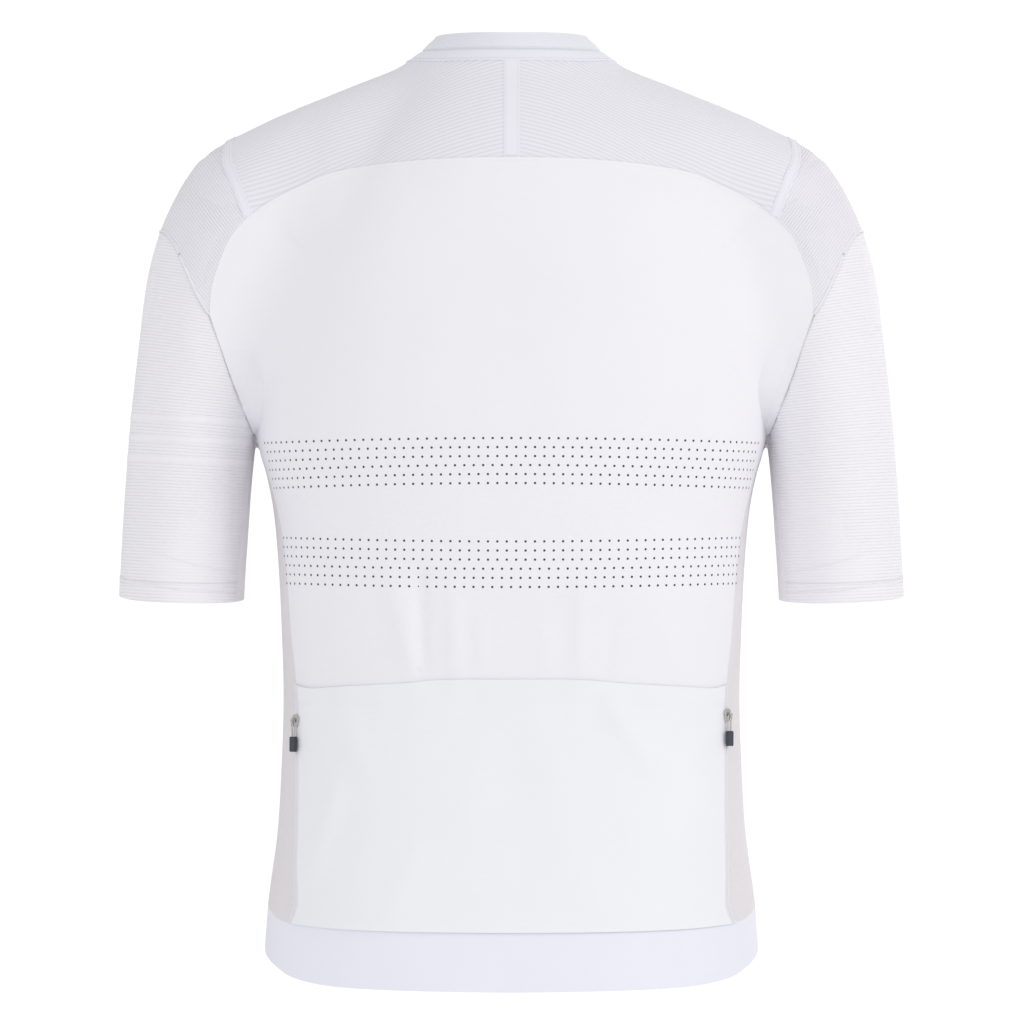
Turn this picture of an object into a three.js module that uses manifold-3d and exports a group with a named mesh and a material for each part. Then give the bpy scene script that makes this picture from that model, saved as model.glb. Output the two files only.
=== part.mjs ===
// Short-sleeved cycling jersey in its worn shape, open at neck, cuffs and hem, with no wearer.
// Millimetres. X is the wearer's right, Y the front, Z up. The origin is the middle of the neck base.
// All cloth lies on one skin: a trunk of stacked oval sections, joined softly to two arm tubes.
// Each piece is a patch of that skin between its seams, thickened inwards to a wall.

import * as THREE from 'three';
import { mergeVertices } from 'three/addons/utils/BufferGeometryUtils.js';
import Module from 'manifold-3d';

const wasm = await Module();
wasm.setup();

// Cloth sizes
const WALL = 1.1;
const COLLAR_WALL = 1.8;
const SEAM_GAP = 0.3;
const LAYER_GAP = 0.3;
const TAPE_PROUD = 0.25;
const TAPE_HALF = 5.6;
const SHOULDER_TAPE_WIDTH = 6.5;
const FRONT_ZIP_HALF = 4;
const POCKET_ZIP_WIDTH = 5;

// Seams on the back are drawn on the plane y = 0 as an eye 3 m behind the jersey sees them
const EYE = new THREE.Vector3(0, -3000, -316.4);

// Trunk sections: half width, depth behind and before the plane y = 0, and squareness of the oval
const TRUNK = [
  { height: 30, halfWidth: 44, back: 49, front: 46, square: 2.0 },
  { height: 13, halfWidth: 54, back: 54, front: 50, square: 2.0 },
  { height: -1.4, halfWidth: 67, back: 60, front: 54, square: 2.0 },
  { height: -15, halfWidth: 76, back: 67, front: 56, square: 2.1 },
  { height: -35, halfWidth: 95, back: 79, front: 59, square: 2.2 },
  { height: -60, halfWidth: 118, back: 91, front: 65, square: 2.3 },
  { height: -90, halfWidth: 138, back: 101, front: 82, square: 2.4 },
  { height: -130, halfWidth: 156, back: 110, front: 100, square: 2.4 },
  { height: -175, halfWidth: 168, back: 115, front: 110, square: 2.4 },
  { height: -225, halfWidth: 175, back: 116, front: 114, square: 2.4 },
  { height: -262, halfWidth: 177.5, back: 114, front: 113, square: 2.4 },
  { height: -275, halfWidth: 175.6, back: 113, front: 112.5, square: 2.4 },
  { height: -290, halfWidth: 171.2, back: 112, front: 112, square: 2.4 },
  { height: -315, halfWidth: 166.3, back: 109, front: 110, square: 2.4 },
  { height: -350, halfWidth: 163, back: 105, front: 107, square: 2.4 },
  { height: -400, halfWidth: 160.5, back: 100, front: 104, square: 2.4 },
  { height: -448, halfWidth: 159.3, back: 97, front: 103, square: 2.4 },
  { height: -500, halfWidth: 161, back: 99, front: 105, square: 2.4 },
  { height: -540, halfWidth: 163.5, back: 104, front: 107, square: 2.4 },
  { height: -581, halfWidth: 169, back: 109, front: 109, square: 2.4 },
  { height: -612, halfWidth: 172.1, back: 111, front: 110, square: 2.4 },
  { height: -670, halfWidth: 171.5, back: 112, front: 110, square: 2.4 },
];

// Arm tubes: the outline from neck to cuff, and the tube's radius in that view and in depth
const ARM = [
  { edgeX: 60, edgeZ: -1, radius: 30, depth: 40 },
  { edgeX: 80, edgeZ: -7.5, radius: 33, depth: 43 },
  { edgeX: 120, edgeZ: -22.6, radius: 38, depth: 50 },
  { edgeX: 153, edgeZ: -35.5, radius: 43, depth: 56 },
  { edgeX: 183, edgeZ: -49.5, radius: 47, depth: 60 },
  { edgeX: 208, edgeZ: -63, radius: 50, depth: 62 },
  { edgeX: 223, edgeZ: -77, radius: 51, depth: 62 },
  { edgeX: 239, edgeZ: -105, radius: 52, depth: 62 },
  { edgeX: 249.6, edgeZ: -133, radius: 51.5, depth: 61 },
  { edgeX: 255.9, edgeZ: -161, radius: 50.5, depth: 60 },
  { edgeX: 259.4, edgeZ: -189, radius: 48, depth: 58 },
  { edgeX: 265.7, edgeZ: -245, radius: 44.6, depth: 54 },
  { edgeX: 269.2, edgeZ: -287, radius: 43.9, depth: 52 },
  { edgeX: 272, edgeZ: -329, radius: 43.8, depth: 51 },
  { edgeX: 274, edgeZ: -371, radius: 43.5, depth: 50 },
  { edgeX: 275.5, edgeZ: -440, radius: 43.5, depth: 50 },
];
const ARM_STATIONS = 44;

// Softness of the join between trunk and arm, at the neck, on the shoulder and under the arm
const JOIN_NECK = 16;
const JOIN_SHOULDER = 46;
const JOIN_ARMPIT = 4;

// Soft folds of the worn cloth on the back: two ends on the plane y = 0, half width and rise
const FOLDS = [
  { x0: -84, z0: -350, x1: -66, z1: -432, width: 9, rise: 1.6 },
  { x0: -62, z0: -345, x1: -60, z1: -436, width: 6, rise: -1.4 },
  { x0: -40, z0: -360, x1: -38, z1: -434, width: 7, rise: 1.2 },
  { x0: 48, z0: -352, x1: 46, z1: -434, width: 7, rise: 1.2 },
  { x0: 96, z0: -380, x1: 118, z1: -432, width: 10, rise: 1.3 },
  { x0: 62, z0: -438, x1: 100, z1: -497, width: 10, rise: 1.8 },
  { x0: -116, z0: -490, x1: -141, z1: -574, width: 10, rise: 1.7 },
  { x0: 104, z0: -520, x1: 132, z1: -582, width: 11, rise: 1.4 },
  { x0: -150, z0: -268, x1: -128, z1: -330, width: 12, rise: 1.8 },
  { x0: 152, z0: -266, x1: 130, z1: -326, width: 12, rise: 1.7 },
];

// Seams as seen from behind, from the middle outwards and downwards, right half
const ARCH_SEAM = [
  { x: 5.6, z: -67.9 }, { x: 42, z: -68.8 }, { x: 70, z: -70.7 }, { x: 98, z: -73.9 },
  { x: 126, z: -79.1 }, { x: 150.5, z: -89.3 }, { x: 170.5, z: -99.8 }, { x: 184.1, z: -109.2 },
];
const CAP_BACK_SEAM = [
  { x: 184.1, z: -109.2 }, { x: 196.4, z: -123.6 }, { x: 205.1, z: -143.3 }, { x: 210, z: -159.6 },
  { x: 211.4, z: -178.5 },
];
const SLEEVE_BACK_SEAM = [
  { x: 211.4, z: -178.5 }, { x: 209.3, z: -184.8 }, { x: 203, z: -203 }, { x: 197, z: -221.4 },
  { x: 189.4, z: -240.8 }, { x: 180.3, z: -261.8 },
];
const POCKET_TOP = [
  { x: 0, z: -433.5 }, { x: 50, z: -433.8 }, { x: 75, z: -436 }, { x: 120, z: -438.5 },
  { x: 142, z: -439.5 }, { x: 150.2, z: -436.8 },
];

// Seams hidden on the front, drawn straight from the front
const CAP_FRONT_SEAM = [
  { x: 188, z: -94 }, { x: 196, z: -118 }, { x: 201, z: -145 }, { x: 202, z: -170 },
];
const SLEEVE_FRONT_SEAM = [
  { x: 202, z: -170 }, { x: 199, z: -200 }, { x: 190, z: -236 }, { x: 178.5, z: -262 },
];

// Side seam between back and front: girth angle behind the side at each height
const SIDE_SEAM = [
  { height: -280, angle: -16.5 }, { height: -300, angle: -19.5 }, { height: -315, angle: -23.5 },
  { height: -343, angle: -27.5 }, { height: -399, angle: -29.3 }, { height: -434, angle: -32 },
  { height: -485, angle: -33 }, { height: -550, angle: -36.4 }, { height: -585, angle: -39 },
  { height: -598.5, angle: -36.8 },
];

// Hem band round the half girth, from the middle of the back to the middle of the front
const HEM = [
  { angle: -90, seam: -600.2, edge: -640.5 },
  { angle: -57, seam: -599.8, edge: -639.3 },
  { angle: -47.5, seam: -599.2, edge: -637.8 },
  { angle: -37.4, seam: -598.2, edge: -634.2 },
  { angle: -32, seam: -597.2, edge: -630.6 },
  { angle: -23, seam: -593.5, edge: -626 },
  { angle: -13, seam: -590.5, edge: -622.3 },
  { angle: -3, seam: -588.5, edge: -617.5 },
  { angle: 15, seam: -583, edge: -609 },
  { angle: 40, seam: -577, edge: -602 },
  { angle: 90, seam: -574, edge: -599 },
];

// Neck seam and collar height round the half neck
const NECK = [
  { angle: -90, seam: -6.6, height: 19.6 },
  { angle: -45, seam: -5.4, height: 19.6 },
  { angle: 0, seam: -2.4, height: 16.5 },
  { angle: 30, seam: -12, height: 17.5 },
  { angle: 60, seam: -40, height: 21 },
  { angle: 90, seam: -58, height: 23 },
];

// Places on the shoulder and sleeve
const SHOULDER_SEAM = [{ x: 184.1, z: -109.2 }, { x: 192.4, z: -87.5 }, { x: 199.2, z: -69.5 }];
const CAP_SEAM_SEEN = { x: 234.5, z: -130.5 };
const CAP_SEAM_OUTER = { x: 245.5, z: -119 };
const YOKE_FRONT_NECK_ANGLE = 22;
const UNDERARM_X = 178.6;
const UNDERARM_DEPTHS = [-10, 0, 11];
const UNDERARM_START_Z = -330;
const SIDE_SEAM_FOOT_Z = -598.5;
const CUFF_CENTRE_X = 230.5;
const STRIP_BACK_TURN = 151;
const STRIP_FRONT_TURN = 205;
const CUFF_OUTER_Z = -374.5;
const CUFF_INNER_Z = -377.5;
const CUFF_SAG = 3.2;

// Cells of each seam, shared by the two pieces that meet there
const CELLS = {
  arch: 10, capBack: 4, sleeveBack: 5, sideUpper: 6, sideLower: 6, underarm: 4,
  capSeam: 10, centreEdge: 3, neckFront: 4, cuff: 9, hem: 2, collar: 3,
};
CELLS.neckBack = CELLS.capSeam - CELLS.centreEdge;

// Small smooth helpers
const clamp = THREE.MathUtils.clamp;
const lerp = THREE.MathUtils.lerp;
const toRadians = THREE.MathUtils.degToRad;

// Lines of points: mirrored, joined end to end, and turned round
const mirror = (points) => points.map((point) => new THREE.Vector3(-point.x, point.y, point.z));
const along = (...lines) => lines.flatMap((line, index) => (index === 0 ? line : line.slice(1)));
const backwards = (line) => [...line].reverse();

function smoothStep(low, high, value) {
  const share = clamp((value - low) / (high - low), 0, 1);
  return share * share * (3 - 2 * share);
}

// A column of a table as a smooth function of another column, by cubic pieces with mean slopes
function column(table, keyName, valueName) {
  const rows = [...table].sort((first, second) => first[keyName] - second[keyName]);
  const keys = rows.map((row) => row[keyName]);
  const values = rows.map((row) => row[valueName]);
  const last = keys.length - 1;
  const slopes = keys.map((key, index) => {
    const low = Math.max(index - 1, 0);
    const high = Math.min(index + 1, last);
    return (values[high] - values[low]) / (keys[high] - keys[low]);
  });
  return (at) => {
    const key = clamp(at, keys[0], keys[last]);
    let index = 0;
    while (index < last - 1 && key > keys[index + 1]) {
      index += 1;
    }
    const span = keys[index + 1] - keys[index];
    const t = (key - keys[index]) / span;
    const rise = values[index + 1] - values[index];
    const bend = slopes[index] * span - rise;
    const counter = -slopes[index + 1] * span + rise;
    return values[index] + t * rise + t * (1 - t) * ((1 - t) * bend + t * counter);
  };
}

// The same column kept as a fine list, for the many looks that the skin needs
function fineColumn(table, keyName, valueName) {
  const exact = column(table, keyName, valueName);
  const keys = table.map((row) => row[keyName]);
  const start = Math.min(...keys);
  const count = Math.ceil(Math.max(...keys) - start);
  const list = Array.from({ length: count + 1 }, (_, index) => exact(start + index));
  return (at) => {
    const place = clamp(at - start, 0, count - 1e-6);
    const index = Math.floor(place);
    return lerp(list[index], list[index + 1], place - index);
  };
}

const trunkHalf = fineColumn(TRUNK, 'height', 'halfWidth');
const trunkBack = fineColumn(TRUNK, 'height', 'back');
const trunkFront = fineColumn(TRUNK, 'height', 'front');
const trunkSquare = fineColumn(TRUNK, 'height', 'square');

// Distance to the trunk, level with the point: the oval's own measure over its slope
function trunkDistance(x, y, z) {
  const power = trunkSquare(z);
  const wide = trunkHalf(z);
  const deep = y < 0 ? trunkBack(z) : trunkFront(z);
  const across = Math.max(x / wide, 1e-6);
  const along = Math.max(Math.abs(y) / deep, 1e-6);
  const size = (across ** power + along ** power) ** (1 / power);
  const slopeX = (across / size) ** (power - 1) / wide;
  const slopeY = (along / size) ** (power - 1) / deep;
  return (size - 1) / Math.hypot(slopeX, slopeY);
}

// Stations along the arm: centre, outward normal in the view plane, and the two radii
function armStations() {
  const edge = new THREE.CatmullRomCurve3(
    ARM.map((row) => new THREE.Vector3(row.edgeX, row.edgeZ, 0)), false, 'centripetal');
  const radii = new THREE.CatmullRomCurve3(
    ARM.map((row) => new THREE.Vector3(row.radius, row.depth, 0)), false, 'centripetal');
  return Array.from({ length: ARM_STATIONS + 1 }, (_, index) => {
    const share = index / ARM_STATIONS;
    const point = edge.getPoint(share);
    const along = edge.getTangent(share);
    const size = radii.getPoint(share);
    const normal = { x: -along.y, z: along.x };
    return {
      x: point.x - normal.x * size.x, z: point.y - normal.z * size.x,
      normalX: normal.x, normalZ: normal.z, radius: size.x, depth: size.y,
    };
  });
}

const stations = armStations();

// The place along the arm that is nearest in the view plane
function nearestStation(x, z) {
  let best = { distance: Infinity, place: 0 };
  for (let index = 0; index < ARM_STATIONS; index += 1) {
    const from = stations[index];
    const to = stations[index + 1];
    const spanX = to.x - from.x;
    const spanZ = to.z - from.z;
    const share = clamp(
      ((x - from.x) * spanX + (z - from.z) * spanZ) / (spanX * spanX + spanZ * spanZ), 0, 1);
    const distance = Math.hypot(x - from.x - share * spanX, z - from.z - share * spanZ);
    if (distance < best.distance) {
      best = { distance, place: index + share };
    }
  }
  return best;
}

function stationAt(place) {
  const index = Math.min(Math.floor(place), ARM_STATIONS - 1);
  const share = place - index;
  const mixed = {};
  for (const key of Object.keys(stations[0])) {
    mixed[key] = lerp(stations[index][key], stations[index + 1][key], share);
  }
  return mixed;
}

function armDistance(x, y, z) {
  const near = nearestStation(x, z);
  const index = Math.min(Math.floor(near.place), ARM_STATIONS - 1);
  const share = near.place - index;
  const radius = lerp(stations[index].radius, stations[index + 1].radius, share);
  const depth = lerp(stations[index].depth, stations[index + 1].depth, share);
  return Math.hypot(near.distance, y * radius / depth) - radius;
}

function softJoin(x, z) {
  const shoulder = lerp(JOIN_NECK, JOIN_SHOULDER, smoothStep(70, 130, x));
  return lerp(JOIN_ARMPIT, shoulder, smoothStep(-262, -190, z));
}

// Rise of the soft folds: each a rounded ridge along its line, fading at both ends
function foldRise(x, y, z) {
  if (y > -20) {
    return 0;
  }
  let rise = 0;
  for (const fold of FOLDS) {
    const spanX = fold.x1 - fold.x0;
    const spanZ = fold.z1 - fold.z0;
    const length = Math.hypot(spanX, spanZ);
    const along = ((x - fold.x0) * spanX + (z - fold.z0) * spanZ) / length;
    const off = ((x - fold.x0) * spanZ - (z - fold.z0) * spanX) / length;
    const ends = smoothStep(-fold.width, length * 0.35, along)
      * smoothStep(-fold.width, length * 0.3, length - along);
    rise += fold.rise * ends * Math.exp(-((off / fold.width) ** 2));
  }
  return rise * smoothStep(-20, -45, y);
}

// The skin: below zero inside the jersey, zero on its outer face
function skin(x, y, z) {
  const side = Math.abs(x);
  const trunk = trunkDistance(side, y, z);
  const arm = armDistance(side, y, z);
  const join = softJoin(side, z);
  const mix = Math.max(join - Math.abs(trunk - arm), 0) / join;
  return Math.min(trunk, arm) - mix * mix * join / 4 - foldRise(x, y, z);
}

function skinNormal(point, side) {
  const step = 0.4;
  const { x, y, z } = point;
  const sample = (dx, dy, dz) => skin(side * (x + dx), y + dy, z + dz);
  return new THREE.Vector3(
    sample(step, 0, 0) - sample(-step, 0, 0),
    sample(0, step, 0) - sample(0, -step, 0),
    sample(0, 0, step) - sample(0, 0, -step),
  ).normalize();
}

// First crossing of the skin along a ray
// A ray that only passes by is drawn to the skin where it is closest
function cast(origin, direction, side, from, reach, outwards) {
  const march = 3;
  const sign = outwards ? 1 : -1;
  const value = (t) => sign * skin(
    side * (origin.x + t * direction.x), origin.y + t * direction.y, origin.z + t * direction.z);
  let low = from;
  let closest = { t: from, value: value(from) };
  for (let t = from + march; t <= reach; t += march) {
    const here = value(t);
    if (here > 0) {
      let high = t;
      for (let round = 0; round < 30; round += 1) {
        const middle = (low + high) / 2;
        if (value(middle) > 0) {
          high = middle;
        } else {
          low = middle;
        }
      }
      return origin.clone().addScaledVector(direction, low);
    }
    if (here > closest.value) {
      closest = { t, value: here };
    }
    low = t;
  }
  const point = origin.clone().addScaledVector(direction, closest.t);
  for (let round = 0; round < 8; round += 1) {
    const normal = skinNormal(point, side);
    point.addScaledVector(normal, -0.9 * skin(side * point.x, point.y, point.z));
  }
  return point;
}

// Points through a table's rows, evenly along the smooth curve
function evenly(points, cells) {
  const curve = new THREE.CatmullRomCurve3(points, false, 'centripetal');
  return curve.getSpacedPoints(cells);
}

// Where the rays to a drawn seam start, and how far they look
const BEHIND = { from: -EYE.y - 190, reach: -EYE.y + 120 };
const AHEAD = { startY: 190, reach: 300 };

function seenFromBehind(rows, cells, side) {
  const drawn = evenly(rows.map((row) => new THREE.Vector3(row.x, 0, row.z)), cells);
  return drawn.map((point) => {
    const direction = point.clone().sub(EYE).normalize();
    return cast(EYE, direction, side, BEHIND.from, BEHIND.reach, false);
  });
}

function seenFromFront(rows, cells, side) {
  const back = new THREE.Vector3(0, -1, 0);
  const drawn = evenly(rows.map((row) => new THREE.Vector3(row.x, AHEAD.startY, row.z)), cells);
  return drawn.map((point) => cast(point, back, side, 0, AHEAD.reach, false));
}

// Under the arm a ray stops in the notch between trunk and sleeve, and its end is drawn to the notch
const ARMPIT = { trunkLimit: 180, armLimit: 173, height: -235 };

// Charts: two numbers for each point of the skin, and the ray that leads from them back to it
const TRUNK_CORE = 90;
const trunkChart = {
  read(point) {
    let low = 5;
    let high = 400;
    for (let round = 0; round < 40; round += 1) {
      const middle = (low + high) / 2;
      const size = (point.x / (TRUNK_CORE + middle)) ** 2 + (point.y / middle) ** 2;
      if (size > 1) {
        low = middle;
      } else {
        high = middle;
      }
    }
    const angle = Math.atan2(point.y / low, point.x / (TRUNK_CORE + low));
    return [THREE.MathUtils.radToDeg(angle), point.z];
  },
  place([angle, height], side) {
    const turn = toRadians(angle);
    const origin = new THREE.Vector3(TRUNK_CORE * Math.cos(turn), 0, height);
    const direction = new THREE.Vector3(Math.cos(turn), Math.sin(turn), 0);
    const widest = lerp(ARMPIT.trunkLimit, 240, smoothStep(-255, -200, height));
    const reach = Math.cos(turn) > 0.3 ? (widest - origin.x) / Math.cos(turn) : 220;
    return cast(origin, direction, side, 20, Math.min(reach, 220), true);
  },
};

const YOKE_CORE = { height: -60, slope: -0.25 };
const yokeChart = {
  read(point) {
    const core = YOKE_CORE.height + YOKE_CORE.slope * point.x;
    return [point.x, THREE.MathUtils.radToDeg(Math.atan2(point.z - core, -point.y))];
  },
  place([x, turn], side) {
    const angle = toRadians(turn);
    const origin = new THREE.Vector3(x, 0, YOKE_CORE.height + YOKE_CORE.slope * x);
    return cast(origin, new THREE.Vector3(0, -Math.cos(angle), Math.sin(angle)), side, 5, 160, true);
  },
};

const armChart = {
  read(point) {
    const { place } = nearestStation(point.x, point.z);
    const here = stationAt(place);
    const across = (point.x - here.x) * here.normalX + (point.z - here.z) * here.normalZ;
    const turn = THREE.MathUtils.radToDeg(Math.atan2(-point.y, across));
    return [place, turn < -20 - 90 * smoothStep(0, 8, place) ? turn + 360 : turn];
  },
  place([station, turn], side) {
    const here = stationAt(clamp(station, 0, ARM_STATIONS));
    const angle = toRadians(turn);
    const direction = new THREE.Vector3(
      here.normalX * Math.cos(angle), -Math.sin(angle), here.normalZ * Math.cos(angle));
    const narrowest = here.z < ARMPIT.height ? ARMPIT.armLimit : 0;
    const reach = direction.x < -0.3 ? (narrowest - here.x) / direction.x : 120;
    return cast(new THREE.Vector3(here.x, 0, here.z), direction, side, 5, Math.min(reach, 120), true);
  },
};

// The arm's chart again, with its cut in the turn angle where each piece has none
const turned = (wrap) => ({
  read(point) {
    const [place, turn] = armChart.read(point);
    return [place, wrap(turn)];
  },
  place: armChart.place,
});
const sleeveChart = {
  read(point) {
    const [place, turn] = armChart.read(point);
    return [place, point.y > 0 && turn > 180 ? turn - 360 : turn];
  },
  place: armChart.place,
};
const frontChart = turned((turn) => (turn > 180 ? turn - 360 : turn));
const underChart = turned((turn) => (turn < 0 ? turn + 360 : turn));

// A curve on the skin through given points, smooth in a chart
function chartCurve(chart, points, cells, side) {
  const read = points.map((point) => new THREE.Vector3(...chart.read(point), 0));
  const curve = evenly(read, cells).map((spot) => chart.place([spot.x, spot.y], side));
  curve[0] = points[0].clone();
  curve[cells] = points.at(-1).clone();
  return curve;
}

// A four-sided patch of the skin: its sides are given, its inner points blend them in the chart
function patch(chart, low, high, near, far, side) {
  const columns = low.length - 1;
  const rows = near.length - 1;
  const charted = [low, high, near, far].map((points) => points.map((point) => chart.read(point)));
  const [lowAt, highAt, nearAt, farAt] = charted;
  const grid = [];
  for (let row = 0; row <= rows; row += 1) {
    const v = row / rows;
    grid.push(low.map((_, index) => {
      const u = index / columns;
      const spot = [0, 1].map((axis) => (1 - v) * lowAt[index][axis] + v * highAt[index][axis]
        + (1 - u) * nearAt[row][axis] + u * farAt[row][axis]
        - (1 - u) * (1 - v) * lowAt[0][axis] - u * (1 - v) * lowAt[columns][axis]
        - (1 - u) * v * highAt[0][axis] - u * v * highAt[columns][axis]);
      return chart.place(spot, side);
    }));
    grid[row][0] = near[row].clone();
    grid[row][columns] = far[row].clone();
  }
  grid[0] = low.map((point) => point.clone());
  grid[rows] = high.map((point) => point.clone());
  return grid;
}

// The blend of two seams into the rows of a strip
function between(nearLine, farLine, steps) {
  return Array.from({ length: steps + 1 }, (_, step) => nearLine.map(
    (point, index) => point.clone().lerp(farLine[index], step / steps)));
}

// Draws a patch's outer rows and columns back from its seams
function drawIn(grid, amounts) {
  const rows = grid.length - 1;
  const columns = grid[0].length - 1;
  const moved = grid.map((line) => line.map((point) => point.clone()));
  const pull = (row, index, inRow, inIndex, amount) => {
    const alongRow = row === inRow;
    const here = grid[row][index];
    const before = alongRow ? grid[Math.max(row - 1, 0)][index] : grid[row][Math.max(index - 1, 0)];
    const after = alongRow ? grid[Math.min(row + 1, rows)][index] : grid[row][Math.min(index + 1, columns)];
    const edge = after.clone().sub(before).normalize();
    const inward = grid[inRow][inIndex].clone().sub(here).normalize();
    const lean = inward.dot(edge);
    moved[row][index].addScaledVector(inward, amount / Math.sqrt(Math.max(1 - lean * lean, 0.15)));
  };
  for (let index = 0; index <= columns; index += 1) {
    pull(0, index, 1, index, amounts.low);
    pull(rows, index, rows - 1, index, amounts.high);
  }
  for (let row = 0; row <= rows; row += 1) {
    pull(row, 0, row, 1, amounts.near);
    pull(row, columns, row, columns - 1, amounts.far);
  }
  return moved;
}

const TAPE_SIDE = (SHOULDER_TAPE_WIDTH + SEAM_GAP) / 2;
const ALL_SEAMS = { low: SEAM_GAP / 2, high: SEAM_GAP / 2, near: SEAM_GAP / 2, far: SEAM_GAP / 2 };

// Closed wall over a grid of skin points: outer face lifted off the skin, inner face one wall below
function wallGeometry(grid, side, lift, wall) {
  const rows = grid.length;
  const columns = grid[0].length;
  const count = rows * columns;
  const positions = new Float32Array(count * 6);
  grid.forEach((line, row) => line.forEach((point, index) => {
    const normal = skinNormal(point, side);
    const outer = point.clone().addScaledVector(normal, lift);
    const inner = point.clone().addScaledVector(normal, lift - wall);
    const at = row * columns + index;
    positions.set([side * outer.x, outer.y, outer.z], at * 3);
    positions.set([side * inner.x, inner.y, inner.z], (count + at) * 3);
  }));
  const middleRow = Math.floor(rows / 2) - (rows > 2 ? 0 : 1);
  const middleColumn = Math.floor(columns / 2) - (columns > 2 ? 0 : 1);
  const here = grid[middleRow][middleColumn];
  const across = grid[middleRow][middleColumn + 1].clone().sub(here);
  const up = grid[middleRow + 1][middleColumn].clone().sub(here);
  const outward = across.cross(up).dot(skinNormal(here, side)) * side > 0;
  const faces = [];
  const quad = (a, b, c, d) => {
    const loop = outward ? [a, b, c, a, c, d] : [a, c, b, a, d, c];
    faces.push(...loop);
  };
  const at = (row, index) => row * columns + index;
  const under = (row, index) => count + at(row, index);
  for (let row = 0; row < rows - 1; row += 1) {
    for (let index = 0; index < columns - 1; index += 1) {
      quad(at(row, index), at(row, index + 1), at(row + 1, index + 1), at(row + 1, index));
      quad(under(row, index), under(row + 1, index), under(row + 1, index + 1), under(row, index + 1));
    }
  }
  const lastRow = rows - 1;
  const lastColumn = columns - 1;
  for (let index = 0; index < lastColumn; index += 1) {
    quad(at(0, index), under(0, index), under(0, index + 1), at(0, index + 1));
    quad(at(lastRow, index), at(lastRow, index + 1), under(lastRow, index + 1), under(lastRow, index));
  }
  for (let row = 0; row < lastRow; row += 1) {
    quad(at(row, 0), at(row + 1, 0), under(row + 1, 0), under(row, 0));
    quad(at(row, lastColumn), under(row, lastColumn), under(row + 1, lastColumn), at(row + 1, lastColumn));
  }
  const geometry = new THREE.BufferGeometry();
  geometry.setAttribute('position', new THREE.BufferAttribute(positions, 3));
  geometry.setIndex(faces);
  return geometry;
}

// Materials
const FINISHES = {
  back: { color: 0xeeeef3, roughness: 0.85 },
  yoke: { color: 0xdfdee7, roughness: 0.9 },
  tape: { color: 0xebe9f2, roughness: 0.7 },
  cap: { color: 0xdfdde4, roughness: 0.9 },
  sleeve: { color: 0xe9e7ec, roughness: 0.88 },
  strip: { color: 0xe2e1ec, roughness: 0.8 },
  side: { color: 0xe0dddf, roughness: 0.85 },
  collar: { color: 0xe6e6ef, roughness: 0.8 },
  pocket: { color: 0xf0f1f5, roughness: 0.82 },
  band: { color: 0xe9e9f3, roughness: 0.6 },
  zip: { color: 0xe4e2e8, roughness: 0.7 },
  metal: { color: 0xb9b7b4, roughness: 0.3, metalness: 1 },
  rubber: { color: 0x3b3d49, roughness: 0.6 },
};

const jersey = new THREE.Group();

function addPiece(name, geometry, finish, parent = jersey) {
  const piece = new THREE.Mesh(geometry, new THREE.MeshStandardMaterial(FINISHES[finish]));
  piece.name = name;
  parent.add(piece);
  return piece;
}

function addCloth(name, grid, side, finish, lift = 0, wall = WALL, amounts = ALL_SEAMS) {
  return addPiece(name, wallGeometry(drawIn(grid, amounts), side, lift, wall), finish);
}

// Neck seam and collar rim as a function of the angle round the neck
const neckSeam = column(NECK, 'angle', 'seam');
const collarHeight = column(NECK, 'angle', 'height');

function neckPoint(angle, share, side) {
  const turn = toRadians(angle);
  const origin = new THREE.Vector3(0, 0, neckSeam(angle) + share * collarHeight(angle));
  return cast(origin, new THREE.Vector3(Math.cos(turn), Math.sin(turn), 0), side, 20, 160, true);
}

function neckLine(fromAngle, toAngle, cells, side, share = 0) {
  return Array.from({ length: cells + 1 },
    (_, index) => neckPoint(lerp(fromAngle, toAngle, index / cells), share, side));
}

// The neck angle at which the ring has a given half width at back or front
function neckAngleAt(x, side, back) {
  let low = 0;
  let high = back ? -90 : 90;
  for (let round = 0; round < 30; round += 1) {
    const middle = (low + high) / 2;
    if (neckPoint(middle, 0, side).x > x) {
      low = middle;
    } else {
      high = middle;
    }
  }
  return (low + high) / 2;
}

const hemSeam = column(HEM, 'angle', 'seam');
const hemEdge = column(HEM, 'angle', 'edge');

function hemPoint(angle, height, side) {
  return trunkChart.place([angle, height(angle)], side);
}

// All seam lines of one half, worked out once and shared
function seamsOf(side) {
  const lines = {};
  lines.arch = seenFromBehind(ARCH_SEAM, CELLS.arch, side);
  lines.capBack = seenFromBehind(CAP_BACK_SEAM, CELLS.capBack, side);
  lines.sleeveBack = seenFromBehind(SLEEVE_BACK_SEAM, CELLS.sleeveBack, side);
  lines.capFront = seenFromFront(CAP_FRONT_SEAM, CELLS.capBack, side);
  lines.sleeveFront = seenFromFront(SLEEVE_FRONT_SEAM, CELLS.sleeveBack, side);
  lines.underarm = underarmLine(lines.sleeveBack.at(-1), lines.sleeveFront.at(-1), side);
  lines.shoulder = shoulderLine(lines.arch.at(-1), lines.capFront[0], side);
  lines.capSeam = capSeamLine(lines.capBack.at(-1), lines.capFront.at(-1), side);
  lines.pocketTop = seenFromBehind(POCKET_TOP, CELLS.arch, side);
  Object.assign(lines, sideLines(lines, side));
  Object.assign(lines, neckLines(lines, side));
  return lines;
}

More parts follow.
